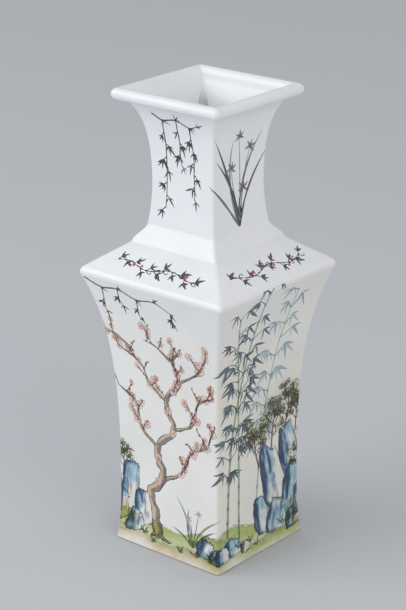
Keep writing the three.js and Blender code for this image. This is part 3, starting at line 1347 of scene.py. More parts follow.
        seed, sheet = int(self.draw.integers(1000)), self.sheet
        for index, x, up in sheet.windows(self.side, edge.min(0) - 1.5, edge.max(0) + 1.5):
            depth = depth_in_shape(x, up, edge)
            sheet.clear(index, depth)
            rise = (up - middle[1]) / height
            across = ((x - middle[0]) - lean * (up - middle[1])) / width
            streak = cloud(x - lean * up, up * 0.35, 3.2, seed)
            patch = cloud(x, up, width * 0.55, seed + 50)
            inside = soft_step(0.0, 0.35, depth)
            shade = np.clip(0.5 + 1.1 * light * across + 1.1 * (streak - 0.5) + 0.1 * rise, 0, 1)
            rim = 1 - soft_step(0.2, 0.12 * width + 0.8, depth + 2.2 * (streak - 0.5))
            for crease in creases:
                fold = depth_in_stroke(x, up, crease - (light * 1.5, 0), np.linspace(2.0, 0.4, 8))
                rim = np.maximum(rim, soft_step(-1.4, 1.2, fold) * 0.9)
            blue = inside * np.clip(0.72 * shade + 0.36 * rim * (0.4 + shade), 0, 1)
            cool = soft_step(0.35, 0.7, patch + 0.25 * rise)
            dry = soft_step(0.4, 0.75, 1 - patch - 0.3 * rise)
            sheet.wash_over(index, Hue.TURQUOISE, inside * cool * 0.85)
            sheet.wash_over(index, Hue.SAND, inside * dry * warm)
            sheet.wash_over(index, Hue.BLUE, soft_step(0.25, 0.75, blue))
            sheet.wash_over(index, Hue.DEEP, soft_step(0.6, 1.05, blue) * 0.8)
        self.contour(np.concatenate([edge, edge[:2]]), 0.5, 1.1, fine(Hue.SLATE, 0.88))
        for crease in creases:
            self.contour(crease, 0.35, 0.8, fine(Hue.SLATE, 0.75))
        for _ in range(int(width / 3)):
            start = middle + (light * self.between(-0.1, 0.4) * width, self.between(-0.1, 0.35) * height)
            fall = np.linspace(0, 1, 6)[:, None] * down * self.between(0.15, 0.4)
            line = start + fall + self.draw.normal(0, 0.15, (6, 2))
            self.stroke(line, [0.2, 0.6, 0.5, 0.4, 0.3, 0.15], fine(Hue.SLATE, 0.6))
        tops = edge[(edge[:, 1] > middle[1] + 0.2 * height) & (self.draw.random(len(edge)) < 0.4)]
        if width > 13:
            self.dabs(tops + self.draw.normal(0, 0.5, tops.shape), 0.6, 1.3, fine(Hue.MOSS, 0.85))

    def rock(self, blocks: Line, light: float = -1.0) -> None:
        """A garden rock from blocks, back ones first: x, up, width, height, lean, warmth."""
        for x, up, *rest in blocks:
            self.block((x, up), *rest, light)

    def grass(self, places: Spot, height: float) -> None:
        """Tufts of grass along the foot.

        Args:
            places: their x.
            height: length of the longest blades.
        """
        for x in places:
            up = self.between(7, 14)
            for _ in range(int(self.draw.integers(7, 14))):
                angle = 90 + self.between(-60, 60)
                bend = -0.3 * math.copysign(1, 90 - angle) * self.between(0.2, 1)
                base = (x + self.between(-1, 1), up + self.between(-0.5, 0.5))
                length, width = height * self.between(0.5, 1.1), self.between(0.6, 1.1)
                self.leaf(base, angle, length, width, self.pick(self.green), bend)

    def tree(self, base: Spot, height: float, lean: float, berries: float) -> None:
        """A small tree: a forked trunk and cushions of dabbed leaves.

        Args:
            base: its foot.
            height: its height.
            lean: how far it leans over, as a share of its height.
            berries: chance of a berry at each dab.
        """
        base = np.asarray(base, float)
        top = base + (lean * height, height * 0.85)
        trunk = bent([base, (base + top) / 2 + self.draw.normal(0, 0.05 * height, 2), top], 8)
        bark = Brush(Hue.UMBER.light * 0.75, 0.9, Layer.INK)
        self.stroke(trunk, np.linspace(0.055, 0.03, len(trunk)) * height, bark)
        tips = [top]
        for i in range(6):
            start = trunk[int(len(trunk) * (0.3 + 0.11 * i))]
            angle = 90 + (48 - 5 * i) * (1 if i % 2 else -1)
            tips.append(self.twig(start, angle, height * 0.36, 0.7, bark))
        for tip in tips:
            reach = np.array([0.17, 0.11]) * height
            self.shade(tip, reach, Hue.OLIVE, 0.45)
            for _ in range(int(1.1 * height)):
                spot = tip + self.draw.normal(0, 0.55, 2).clip(-1.1, 1.1) * reach
                rank = (spot - tip)[1] / reach[1] + self.between(-0.8, 0.8)
                brush = self.leaves[int(np.clip((rank + 1.2) / 2.4, 0, 0.99) * len(self.leaves))]
                way = heading(self.between(-40, 220)) * self.between(0.8, 2.0)
                self.stroke([spot, spot + way], [self.between(0.9, 1.4), 0.5], brush)
                if self.draw.random() < berries:
                    self.stroke([spot], self.between(0.9, 1.3), fine(Hue.CORAL, 0.9))

    def limb(self, points: Line, start: float, end: float) -> Array:
        """A gnarled branch with a pale side, bark strokes and broken outlines.

        Args:
            points: its middle line.
            start: its width at the start.
            end: its width at the end.

        Returns:
            The finer middle line.
        """
        line = bent(points, 7)
        line[1:-1] += self.draw.normal(0, 0.16, (len(line) - 2, 2)) * max(0.4, start / 3)
        swell = 1 + 0.2 * self.draw.standard_normal(len(line)).clip(-1, 1)
        widths = np.linspace(start, end, len(line)) * swell
        self.stroke(line, widths, Brush(blend(Hue.UMBER, Hue.INK, 0.25), 0.85))
        way = np.gradient(line, axis=0)
        out = np.stack([-way[:, 1], way[:, 0]], 1) / np.linalg.norm(way, axis=1, keepdims=True)
        pale = Brush(blend(Hue.OCHRE, Hue.SAND, 0.4), 0.8)
        if start > 1.4:
            self.stroke(line[:-2] + (-0.16 * start, 0.1 * start), widths[:-2] * 0.42, pale)
            for sign in (-1, 1):
                self.contour(line + sign * out * widths[:, None] / 2, 0.4, 0.85, fine(Hue.INK))
        for i in self.draw.integers(1, len(line) - 2, int(start**1.6)):
            across = np.linspace(-0.4, self.between(-0.1, 0.4), 4)[:, None] * out[i] * widths[i]
            curve = np.array([0, 0.12, 0.12, 0])[:, None] * way[i] * start
            self.stroke(line[i] + across + curve, [0.2, 0.5, 0.4, 0.15], fine(Hue.INK, 0.75))
        return line

    def blossom(self, place: Spot, radius: float) -> None:
        """A five-petalled plum blossom with stamens, a little turned from the eye.

        Args:
            place: its middle.
            radius: its radius.
        """
        turn, squeeze, lean = self.between(0, 72), self.between(0.62, 1.0), self.between(0, 180)
        long, short = heading(lean), heading(lean + 90)
        flat = np.outer(long, long) + squeeze * np.outer(short, short)
        place = np.asarray(place, float)
        centres = [place + flat @ (heading(turn + 72 * i) * radius * 0.56) for i in range(5)]
        rim = Brush(blend(Hue.CORAL, Hue.UMBER, 0.35) * 0.8 + Hue.PINK.light * 0.2, 0.85)
        for centre in centres:
            self.stroke([centre], radius * 0.98, rim)
        petal = Brush(blend(Hue.PINK, Hue.BARE, self.between(0.2, 0.9)), 1.0)
        for centre in centres:
            self.stroke([centre + (place - centre) * 0.08], radius * 0.98 - 0.5, petal)
        self.stroke([place], radius * 0.5, Brush(blend(Hue.WILLOW, Hue.LEMON, 0.5)))
        for i in range(7):
            way = heading(turn + 51 * i + self.between(-9, 9)) * radius
            tip = place + flat @ (way * self.between(0.5, 0.75))
            self.stroke([place, tip], 0.22, fine(Hue.UMBER, 0.8))
            self.stroke([tip], 0.55, fine(Hue.UMBER, 0.95))

    def bud(self, place: Spot, angle: float) -> None:
        """A closed bud in its dark cup.

        Args:
            place: its middle.
            angle: the way it points, in degrees.
        """
        place, way = np.asarray(place, float), heading(angle)
        self.stroke([place + way * 0.5, place + way * 1.1], [1.6, 1.2], fine(Hue.CORAL, 0.85))
        self.stroke([place - way * 0.4, place + way * 0.2], [0.7, 1.0], fine(Hue.INK))

    def blossoming(self, line: Array, first: int, chance: float) -> None:
        """Upright twigs with blossoms and buds along a branch.

        Args:
            line: the branch.
            first: the point they start from.
            chance: share of blossoms among them.
        """
        for i in range(first, len(line), 3):
            angle = 90 + self.between(14, 52) * (1 if i % 2 else -1)
            bark = Brush(Hue.UMBER.light * 0.6, 0.9, Layer.INK)
            tip = self.twig(line[i], angle, self.between(6, 15), 0.75, bark)
            for share in (0.4, 0.7, 1.0):
                spot = line[i] + (tip - line[i]) * share + self.draw.normal(0, 0.5, 2)
                if self.draw.random() < chance:
                    spot = spot + heading(angle + self.between(-90, 90)) * 1.2
                    self.blossom(spot, self.between(2.3, 3.6))
                else:
                    self.bud(spot, angle + self.between(-50, 50))
            if self.draw.random() < chance:
                self.blossom(line[i] + self.draw.normal(0, 1.0, 2), self.between(2.8, 4.0))

    def culm(self, points: Line, width: float, tone: float) -> list[Array]:
        """A bamboo stem in sections.

        Args:
            points: its middle line.
            width: its width at the foot.
            tone: density of its colour.

        Returns:
            The nodes between the sections.
        """
        line = bent(points, 12)
        gone = run_length(line)
        dark = Brush(blend(Hue.OLIVE, Hue.BLUE, 0.5), tone)
        pale = Brush(blend(Hue.WILLOW, Hue.TURQUOISE, 0.5), tone)
        nodes, reached = [], 0.0
        while reached < gone[-1] - 4:
            span = min(self.between(10, 15), gone[-1] - reached)
            spots = np.array([0.03, 0.2, 0.5, 0.8, 0.97]) * span + reached
            part = np.stack([np.interp(spots, gone, line[:, i]) for i in (0, 1)], 1)
            shape = width * np.array([1.1, 0.92, 0.88, 0.92, 1.1])
            self.stroke(part, shape, dark)
            self.stroke(part[:-1] - (width * 0.14, 0), shape[:-1] * 0.5, pale)
            knee = part[-1] + np.array([[-0.62 * width, 0.25], [0, -0.15], [0.62 * width, 0.3]])
            self.stroke(knee, [0.3, 0.6, 0.3], fine(Hue.INK, 0.85 * tone))
            nodes.append(part[-1])
            reached += span
            width *= 0.96
        return nodes

    def orchid(self, base: Spot, blades: Line, width: float, brushes: Brushes) -> None:
        """Long arched blades.

        Args:
            base: where they spring from.
            blades: angle in degrees, length and bend of each.
            width: their greatest width.
            brushes: their paint.
        """
        for angle, length, bend in blades:
            line = arched(np.asarray(base) + (self.between(-1, 1), 0), angle, length, bend, 16, 2.2)
            share = np.linspace(0, 1, 16)
            shape = np.interp(share, [0, 0.15, 0.35, 0.5, 0.7, 1], [0.5, 1, 0.6, 0.95, 0.75, 0.1])
            self.stroke(line, width * shape, self.pick(brushes))

    def orchid_flowers(
        self, base: Spot, places: Line, size: float, petals: Brush, stalk: Brush
    ) -> None:
        """Slim flowers on thin bent stalks.

        Args:
            base: where the stalks spring from.
            places: middles of the flowers.
            size: length of a petal.
            petals: what the petals are painted with.
            stalk: what the stalks are painted with.
        """
        base = np.asarray(base, float)
        for place in np.asarray(places, float):
            bow = (base + place) / 2 + (self.between(-2, 2), 3)
            self.stroke(bent([base, bow, place], 5), np.linspace(0.8, 0.45, 11), stalk)
            tilt = self.between(-25, 25)
            for angle in (90, 35, 145, -25, 205):
                length = size * self.between(0.85, 1.15)
                self.leaf(place, angle + tilt, length, size * 0.34, petals, 0.12)
            for angle in (60, 90, 120):
                self.stroke([place + heading(angle + tilt) * 0.8], 0.6, WET_INK)

    def daisy(self, place: Spot, radius: float, pale: Brush, deep: Brush) -> None:
        """A chrysanthemum: three rings of narrow petals, seen a little from the side.

        Args:
            place: its middle.
            radius: its radius.
            pale: what its petals are filled with.
            deep: what they are outlined with.
        """
        place = np.asarray(place, float)
        share = np.linspace(0, 1, 6)[:, None]
        for ring, (reach, count) in enumerate(((1.0, 20), (0.74, 15), (0.46, 10))):
            for i in range(count):
                way = heading(360 * (i + 0.5 * ring) / count + self.between(-6, 6)) * (1, 0.78) * radius
                tip = way * reach * self.between(0.88, 1.08) + (0, 0.06 * radius * ring)
                line = place + way * 0.12 + share * (tip - way * 0.12)
                line += share**2 * (0, -0.06 * radius * (1 - 0.5 * ring))
                shape = np.array([0.5, 0.8, 1.0, 1.1, 1.0, 0.55]) * radius * 0.2
                self.stroke(line, shape + 0.35, deep)
                self.stroke(line, shape - 0.15, pale)
        self.stroke([place + (0, 0.1 * radius)], radius * 0.3, deep)

    def lobed_leaf(self, place: Spot, angle: float, size: float, brush: Brush) -> None:
        """A chrysanthemum leaf: blunt lobes round a rib, with ink veins.

        Args:
            place: its base.
            angle: the way it goes, in degrees.
            size: its length.
            brush: its paint.
        """
        place = np.asarray(place, float)
        lobes = ((-68, 0.62), (68, 0.62), (-34, 0.86), (34, 0.86), (0, 1.0))
        for turn, reach in lobes:
            line = place + np.linspace(0, 1, 5)[:, None] * heading(angle + turn) * size * reach
            self.stroke(line, np.array([0.3, 0.36, 0.42, 0.36, 0.14]) * size, brush)
        for turn, reach in lobes:
            tip = place + heading(angle + turn) * size * reach * 0.85
            self.stroke([place, tip], [0.4, 0.2], fine(Hue.INK, 0.8))

    def trailing(self, points: Line, size: float, berries: float) -> None:
        """A trailing vine in ink: leaves in threes on short stalks, tendrils and coral berries.

        Args:
            points: its stem.
            size: length of a leaf.
            berries: chance of berries at each stalk.
        """
        line = bent(points, 10)
        self.stroke(line, 0.75 + 0.25 * np.sin(np.arange(len(line)) * 0.7), WET_INK)
        gone = run_length(line)
        reached, sign = 0.0, 1
        while reached < gone[-1]:
            i = int(np.searchsorted(gone, reached))
            ahead = line[min(i + 1, len(line) - 1)] - line[max(i - 1, 0)]
            turn = math.degrees(math.atan2(ahead[1], ahead[0]))
            angle, length = turn + sign * self.between(35, 60), size * self.between(0.25, 0.55)
            tip = self.twig(line[i], angle, length, 0.6, WET_INK)
            for lean, share in ((0, 1.0), (50, 0.72), (-50, 0.72)):
                length = size * share * self.between(0.8, 1.15)
                angle = turn + sign * 38 + lean + self.between(-12, 12)
                width, bend = length * self.between(0.28, 0.36), self.between(-0.15, 0.15)
                self.leaf(tip, angle, length, width, WET_INK, bend)
            if self.draw.random() < 0.4:
                curl = np.array([(0, 0), (2.2, -1.6), (4.2, -2.2), (5.0, -1.2), (4.2, -0.7)]) * (1, sign)
                self.stroke(bent(line[i] + curl, 4), 0.62, WET_INK)
            if self.draw.random() < berries:
                for _ in range(int(self.draw.integers(2, 4))):
                    spot = line[i] + (self.between(-1.5, 1.5), -sign * self.between(1.2, 3.0))
                    self.stroke([spot], self.between(1.5, 2.1), fine(Hue.CORAL, 0.95))
            reached += size * self.between(0.75, 1.15)
            sign = -sign

    def hanging(self, start: Spot, length: float, size: float) -> None:
        """A thin stem that hangs down with bamboo leaves in threes and fours, in ink.

        Args:
            start: where it hangs from.
            length: its length.
            size: length of a leaf.
        """
        count = max(3, round(length / (size * 0.8)))
        sway = np.cumsum(self.draw.normal(0, 0.6, count))
        knots = np.asarray(start) + np.stack([sway, np.linspace(0, -length, count)], 1)
        self.stroke(bent(knots, 4), np.linspace(0.95, 0.65, (count - 1) * 4 + 1), WET_INK)
        for i, knot in enumerate(knots[1:]):
            side = 1 if i % 2 else -1
            angle, length = -90 + side * self.between(35, 60), size * self.between(0.15, 0.4)
            tip = self.twig(knot, angle, length, 0.6, WET_INK)
            leaves, reach = int(self.draw.integers(3, 6)), size * self.between(0.8, 1.15)
            self.spray(tip, -90 + side * self.between(8, 30), leaves, reach, [WET_INK], 100)

    def ink_branch(self, points: Line, falls: Sequence[tuple[int, float]], size: float) -> None:
        """A bamboo branch in ink with stems that hang from it.

        Args:
            points: the branch.
            falls: number of the branch's point and length of each hanging stem.
            size: length of a leaf.
        """
        self.stroke(bent(points, 6), np.linspace(1.5, 0.7, 6 * (len(points) - 1) + 1), WET_INK)
        for i, length in falls:
            self.hanging(points[i], length, size * self.between(0.9, 1.1))
        for i, place in enumerate(points[1:]):
            self.spray(place, self.between(-70, -20) + 90 * (i % 2), 3, size * 0.9, [WET_INK], 80)


# Finishes


@dataclass(frozen=True)
class Glaze:
    """Clear glaze over white porcelain, wiped off the rim that stands on the table.

    The glaze is white, with the pool's colour where it lies thick, and the rim's bare clay has the
    biscuit's. Wobble is the height of its slow unevenness and rim that of the bare rim, in metres. A
    painted one lays the mesh's painting over it. A shaded one has painted shade: it sinks to the
    shadow's grey below the mouth's height in metres, as the shade deep in the neck's inside
    corners.
    """

    name: str = "porcelain_glaze"
    white: Triple = linear(240, 241, 243)
    pool: Triple = linear(226, 231, 234)
    biscuit: Triple = linear(196, 184, 166)
    speck: Triple = linear(150, 140, 128)
    shadow: Triple = linear(120, 118, 116)
    gloss: float = 0.13
    wobble: float = 0.0005
    rim: float = 0.0011
    mouth: float = 0.332
    painted: bool = False
    shaded: bool = False

    def painting(self, pen: Pen, place: Sock, body: Sock) -> tuple[Sock, Sock]:
        """Lay the painting over the glaze.

        Args:
            pen: writes into the material's tree.
            place: the place on the object.
            body: colour of the bare glaze.

        Returns:
            The colour, and the height of the enamel.
        """
        grain = pen.noise(place, 1500.0, 3.0, 0.65)
        bristle = pen.noise(place, 700.0, 2.0)
        body = pen.mix(1.0, body, pen.attribute("wash", "Color"), "MULTIPLY")
        relief = 0.0
        for layer, ragged in ((Layer.BRUSH, 0.3), (Layer.INK, 0.16)):
            edge = pen.attribute(f"{layer.value}_edge") + (bristle - 0.5) * ragged
            tint = pen.attribute(layer.value, "Color")
            tone = tint.sibling("Alpha") * (0.82 + 0.4 * grain)
            tone = tone * (1.06 - 0.16 * edge.ramp(0.1, 0.7))
            cover = edge.ramp(-0.09, 0.09) * tone.least(1.0)
            body = pen.mix(cover, body, pen.mix(1.0, body, tint, "MULTIPLY"))
            relief = edge.ramp(-0.15, 0.2) * 0.02 + relief
        return body, relief

    def material(self) -> Material:
        """Build the material.

        Returns:
            The material.
        """
        material = bpy.data.materials.new(self.name)
        pen = clean_pen(material)
        place = pen.node("ShaderNodeTexCoord", output="Object")
        cloud = pen.noise(place, 22.0, 3.0)
        speck = pen.noise(place, 900.0, 1.0).ramp(0.74, 0.8)
        body = pen.mix(cloud.ramp(0.35, 0.75) * 0.5, self.white, self.pool)
        body = pen.mix(speck * 0.25, body, self.speck)
        relief = 0.0
        if self.painted:
            body, relief = self.painting(pen, place, body)
        height = pen.node("ShaderNodeSeparateXYZ", {}, {0: place}, "Z")
        if self.shaded:
            # Painted shade: grey below the mouth, for the shade deep in the neck's inside corners.
            body = pen.mix((self.mouth - height).ramp(0.0, 0.02) * 0.65, body, self.shadow)
        uneven = height + speck * 0.0003 + cloud * 0.0006 - 0.0003
        bare = 1.0 - uneven.ramp(self.rim, self.rim + 0.0004)
        body = pen.mix(bare, body, self.biscuit)
        slow = pen.noise(place, 28.0, 2.0)
        peel = pen.noise(place, 420.0, 1.0)
        rough = self.gloss + pen.noise(place, 60.0, 3.0) * 0.06 + bare * 0.5
        relief = slow * 0.6 + peel * 0.004 + relief
        inputs = {"Strength": 0.5, "Distance": self.wobble, "Height": relief}
        bump = pen.node("ShaderNodeBump", {}, inputs)
        inputs = {"Base Color": body, "Roughness": rough, "IOR": 1.5, "Normal": bump}
        inputs |= {"Coat Weight": (1.0 - bare) * 0.3, "Coat Roughness": 0.04}
        shader = pen.node("ShaderNodeBsdfPrincipled", {}, inputs)
        pen.node("ShaderNodeOutputMaterial", {}, {"Surface": shader})
        return material


# The vase


@dataclass
class Maker:
    """What all sub-assemblies share: the groups, and the glaze plain, painted and on the rolls."""

    slab_tree: NodeTree
    fillet_tree: NodeTree
    plain: Material
    painted: Material
    # The glaze on the rolls, with painted shade below the mouth.
    seam: Material


def finish_piece(piece: Object, node: str) -> None:
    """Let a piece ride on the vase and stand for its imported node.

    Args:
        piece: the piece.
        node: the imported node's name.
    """
    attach(piece, "root")
    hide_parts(node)
    LOG.info("%s: %d faces", piece.name, len(piece.data.polygons))


class Ring:
    """A part of four equal slabs.

    Node is the name of their nodes without the side, arris the width of a slab's corners in
    millimetres, and flat and corner are the columns on the flat and on each corner.
    """

    node: str
    arris: float
    flat: int
    corner: int
    painted: bool = True

    def outline(self) -> Outline:
        """The outline of a slab, in millimetres."""
        raise NotImplementedError

    def build(self, maker: Maker) -> dict[Side, Panel]:
        """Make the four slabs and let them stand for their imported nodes.

        Args:
            maker: the groups and materials.

        Returns:
            The panels.
        """
        outline, panels = self.outline(), {}
        half, height = outline.points.T * MM
        attributes = {"half": half, "height": height, "arris": outline.arris * MM}
        attributes["row"] = np.arange(len(half), dtype=np.int32)
        finish = maker.painted if self.painted else maker.plain
        columns = {"Flat columns": self.flat, "Corner columns": self.corner}
        for side in Side:
            piece = loop_object(f"{self.node}_{side.tag}_glazed", attributes)
            values = {"Corner width": self.arris * MM, "Turns": side.value, "Finish": finish}
            settle(piece, maker.slab_tree, columns | values)
            face_out(piece.data)
            panels[side] = Panel(piece, outline, side, self.flat, self.corner, self.arris)
            panels[side].smooth()
            panels[side].unwrap()
            finish_piece(piece, f"{self.node}_{side.tag}")
        return panels


@dataclass
class Body(Ring):
    """Four walls that flare from a waist up to the shoulder edge and a little to the foot."""

    node = "body_wall"
    height: float = 210.3
    shoulder_half: float = 66
    shoulder_lean: float = 24
    shoulder_pull: float = 41
    waist_half: float = 46.4
    waist_height: float = 62
    waist_pull_up: float = 60
    waist_pull_down: float = 23.5
    foot_half: float = 49.3
    foot_lean: float = 11
    foot_pull: float = 15
    foot_edge: float = 1.2
    wall: float = 6
    arris: float = 2.6
    shoulder_pitch: float = 35.6
    shoulder_edge: float = 5
    shoulder_wall: float = 5
    step: float = 0.57
    flat: int = 208
    corner: int = 6

    def __post_init__(self) -> None:
        """Work out the curves that body and shoulder share."""
        foot = np.array([self.foot_half, 0.0])
        waist = np.array([self.waist_half, self.waist_height])
        self.edge = np.array([self.shoulder_half, self.height])
        foot_pull = foot + self.foot_pull * heading(90 + self.foot_lean)
        self.foot_curve = Bezier(foot, foot_pull, waist - self.waist_pull_down * heading(90), waist)
        waist_pull = waist + self.waist_pull_up * heading(90)
        edge_pull = self.edge + self.shoulder_pull * heading(-90 - self.shoulder_lean)
        self.flare = Bezier(waist, waist_pull, edge_pull, self.edge)
        self.plane_normal = heading(90 - self.shoulder_pitch)

        def edge_depth(centre: Array) -> float:
            """How far a circle's centre is above where it touches the shoulder's plane."""
            return float((centre - self.edge) @ self.plane_normal) + self.shoulder_edge

        circle = self.flare.resting_circle(self.shoulder_edge, edge_depth, 0.5, 1)
        self.edge_share, self.edge_middle = circle
        way = self.flare.way(self.edge_share)[0]
        self.edge_from = math.atan2(-way[0], way[1])
        self.edge_to = math.radians(90 - self.shoulder_pitch)
        self.edge_half = both = (self.edge_from + self.edge_to) / 2
        self.joint = self.edge_middle + self.shoulder_edge * np.array([math.cos(both), math.sin(both)])
        inside = self.lining(4)
        top = last_true(lambda z: self.under(inside.half_at(z)) > z, self.waist_height, self.height)
        self.inner = np.array([inside.half_at(top), top])

    def top(self, half: float) -> float:
        """Height of the shoulder's plane over a half."""
        return self.height + math.tan(math.radians(self.shoulder_pitch)) * (self.shoulder_half - half)

    def under(self, half: float) -> float:
        """Height of the shoulder's underside over a half."""
        return self.top(half) - self.shoulder_wall / math.cos(math.radians(self.shoulder_pitch))

    def lining(self, step: float) -> Path:
        """The inside of the walls, from the foot up."""
        return chain([self.foot_curve.path(step), self.flare.path(step)]).shifted(-self.wall, 0)

    def outline(self) -> Outline:
        """Draw the wall.

        Returns:
            Its outline: foot rim, skin, half the shoulder edge, joint and lining.
        """
        # The little arc that the foot stands on touches the floor and the foot's curve.
        edge = self.foot_edge
        share, middle = self.foot_curve.resting_circle(edge, lambda c: float(c[1]) - edge, 0, 0.3)
        way = self.foot_curve.way(share)[0]
        toe = Path.arc(middle, edge, -QUARTER, math.atan2(-way[0], way[1]), self.step)
        low = self.foot_curve.path(self.step, share, 1)
        high = self.flare.path(self.step, 0, self.edge_share)
        radius, step = self.shoulder_edge, self.step / 2
        bend = Path.arc(self.edge_middle, radius, self.edge_from, self.edge_half, step)
        skin = chain([toe, low, high, bend])
        joint = Path.line(self.joint, self.inner, 3)
        inside = self.lining(5)
        kept = inside.points[:, 1] < self.inner[1] - 1
        points = np.vstack([inside.points[kept], self.inner])
        inside = Path(points, np.vstack([inside.tangents[kept], inside.tangents[-1]]))
        rim = Path.line(inside.points[0], skin.points[0], 1)
        radii = [(self.arris, self.arris), (self.arris, 0), (0, 0), (0, self.arris)]
        return Outline([skin, joint, inside.reversed(), rim], radii)


@dataclass
class Shoulder(Ring):
    """Four slabs that slope from the shoulder edge up to the neck and run in under its foot."""

    node = "shoulder"
    body: Body
    neck_half: float = 38.6
    ledge: float = 6
    step: float = 0.6
    flat: int = 200
    corner: int = 6

    def __post_init__(self) -> None:
        """Take the walls' arris."""
        self.arris = self.body.arris

    def outline(self) -> Outline:
        """Draw the slab.

        Returns:
            Its outline: edge and top, ledge end, underside and joint.
        """
        body, step = self.body, self.step / 2
        bend = Path.arc(body.edge_middle, body.shoulder_edge, body.edge_half, body.edge_to, step)
        end = self.neck_half - self.ledge
        rise = Path.line(bend.points[-1], (end, body.top(end)), self.step)
        drop = Path.line(rise.points[-1], (end, body.under(end)), 3)
        under = Path.line(drop.points[-1], body.inner, 3)
        joint = Path.line(body.inner, body.joint, 3)
        radii = [(body.arris, body.arris), (body.arris, 0), (0, 0), (0, body.arris)]
        return Outline([chain([bend, rise]), drop, under, joint], radii)


@dataclass
class Neck(Ring):
    """Four walls with a stepped foot and a flared top."""

    node = "neck_wall"
    body: Body
    foot_half: float = 38.6
    foot_lean: float = 10
    foot_pull: float = 5.2
    ankle_half: float = 30.4
    ankle_height: float = 13.3
    ankle_lean: float = 8.6
    ankle_pull_down: float = 5.6
    ankle_pull_up: float = 8.7
    half: float = 28
    waist_height: float = 44
    pull_down: float = 11.8
    pull_up: float = 33.5
    wall: float = 4.5
    arris: float = 1.8
    mouth_pitch: float = 44
    mouth_pull: float = 11.6
    lip_half: float = 43.5
    lip_height: float = 105.9
    lip_radius: float = 4.3
    lip_seat: float = 235
    lip_lap: float = 0.7
    sink: float = 0.8
    pool: float = 1.3
    pool_sink: float = 0.05
    pool_pull: float = 0.62
    roll: float = 7
    roll_foot: float = 4.3
    roll_top: float = 3.5
    roll_taper: float = 15
    roll_tip: float = 0.6
    roll_sink: float = 0.25
    roll_rings: int = 80
    roll_steps: int = 14
    step: float = 0.55
    flat: int = 124
    corner: int = 6

    def __post_init__(self) -> None:
        """Work out the curves from the foot to the lip."""
        self.foot = np.array([self.foot_half, self.body.top(self.foot_half)])
        ankle = np.array([self.ankle_half, self.foot[1] + self.ankle_height])
        waist = np.array([self.half, self.foot[1] + self.waist_height])
        self.lip_middle = np.array([self.lip_half, self.foot[1] + self.lip_height])
        self.mouth = self.lip_middle + (self.lip_radius + JOINT) * heading(self.lip_seat)
        lean, flare = heading(90 + self.ankle_lean), heading(self.mouth_pitch)
        step_pull = self.foot + self.foot_pull * heading(90 + self.foot_lean)
        self.step_curve = Bezier(self.foot, step_pull, ankle - self.ankle_pull_down * lean, ankle)
        ankle_pull = ankle + self.ankle_pull_up * lean
        self.ankle_curve = Bezier(ankle, ankle_pull, waist - self.pull_down * heading(90), waist)
        waist_pull = waist + self.pull_up * heading(90)
        self.flare = Bezier(waist, waist_pull, self.mouth - self.mouth_pull * flare, self.mouth)

    def lining(self, step: float) -> Path:
        """Draw the inside of the walls.

        Args:
            step: greatest length of a step.

        Returns:
            A run from under the foot to the end of the flare.
        """
        low = chain([self.step_curve.path(step), self.ankle_curve.path(step)]).shifted(-self.wall, 0)
        start = Path.line(low.points[0] - (0, self.sink + 4), low.points[0], step)
        return chain([start, low, self.flare.path(step).offset(self.wall)])

    def outline(self) -> Outline:
        """Draw the wall.

        Returns:
            Its outline: pool of glaze, skin, seat of the lip, lining and foot.
        """
        share = self.pool / (1.1 * self.ankle_height)
        rising = self.step_curve.path(self.step, share)
        body, slope = self.body, heading(-self.body.shoulder_pitch)
        start = self.foot + self.pool * slope - self.pool_sink * body.plane_normal
        end, way = rising.points[0], rising.tangents[0]
        pull = self.pool_pull * self.pool
        low = Bezier(start, start - pull * slope, end - pull * way, end).path(self.step / 1.5)
        lap = self.lip_lap * heading(self.mouth_pitch)
        far = self.mouth + lap
        high = [curve.path(self.step) for curve in (self.ankle_curve, self.flare)]
        skin = chain([rising, *high, Path.line(self.mouth, far)])
        inside = self.lining(2.5)
        seat = Path.line(far, inside.points[-1] + lap, 2)
        inside = chain([inside, Path.line(inside.points[-1], seat.points[-1])])
        down = self.sink * self.body.plane_normal
        base = Path.line(inside.points[0], start - down, 2)
        rise = Path.line(start - down, start)
        wide, slim = body.arris, self.arris
        radii = [(wide, slim), (slim, slim), (slim, 0), (0, 0), (0, wide), (wide, wide)]
        return Outline([low, skin, seat, inside.reversed(), base, rise], radii, skin=2)

    def fillet(self, maker: Maker, corner: Corner) -> None:
        """Make the roll of clay in one inside corner, which dies away below the lip.

        Args:
            maker: the groups and materials.
            corner: the corner.
        """
        bottom, top = self.foot[1] + self.roll_foot, self.lip_middle[1] - self.roll_top
        height = np.linspace(bottom, top, self.roll_rings)
        reach = self.roll_tip + (self.roll - self.roll_tip) * soft_step(0, self.roll_taper, top - height)
        lining = self.lining(0.4)
        half = np.array([lining.half_at(z) for z in height])
        path = {"half": half * MM, "height": height * MM, "reach": reach * MM}
        path = loop_object("fillet_path", path, False)
        angle = np.linspace(0, QUARTER, self.roll_steps)
        across = np.concatenate([[0, 1], 1 - np.sin(angle[1:-1]), [0]])
        inward = np.concatenate([[0, 0], 1 - np.cos(angle[1:-1]), [1]])
        back = np.full(len(across), self.roll_sink * MM)
        loop = {"across": across, "inward": inward, "back": back}
        piece = loop_object(f"neck_roll_{corner.tag}_glazed", loop)
        values = {"Rings": len(height), "Path": path, "Turns": corner.value, "Finish": maker.seam}
        settle(piece, maker.fillet_tree, values)
        face_out(piece.data)
        bpy.data.objects.remove(path)
        finish_piece(piece, f"neck_roll_{corner.tag}")

    def build(self, maker: Maker) -> dict[Side, Panel]:
        """Make the four walls and the rolls in their inside corners.

        Args:
            maker: the groups and materials.

        Returns:
            The walls' panels.
        """
        for corner in Corner:
            self.fillet(maker, corner)
        return super().build(maker)


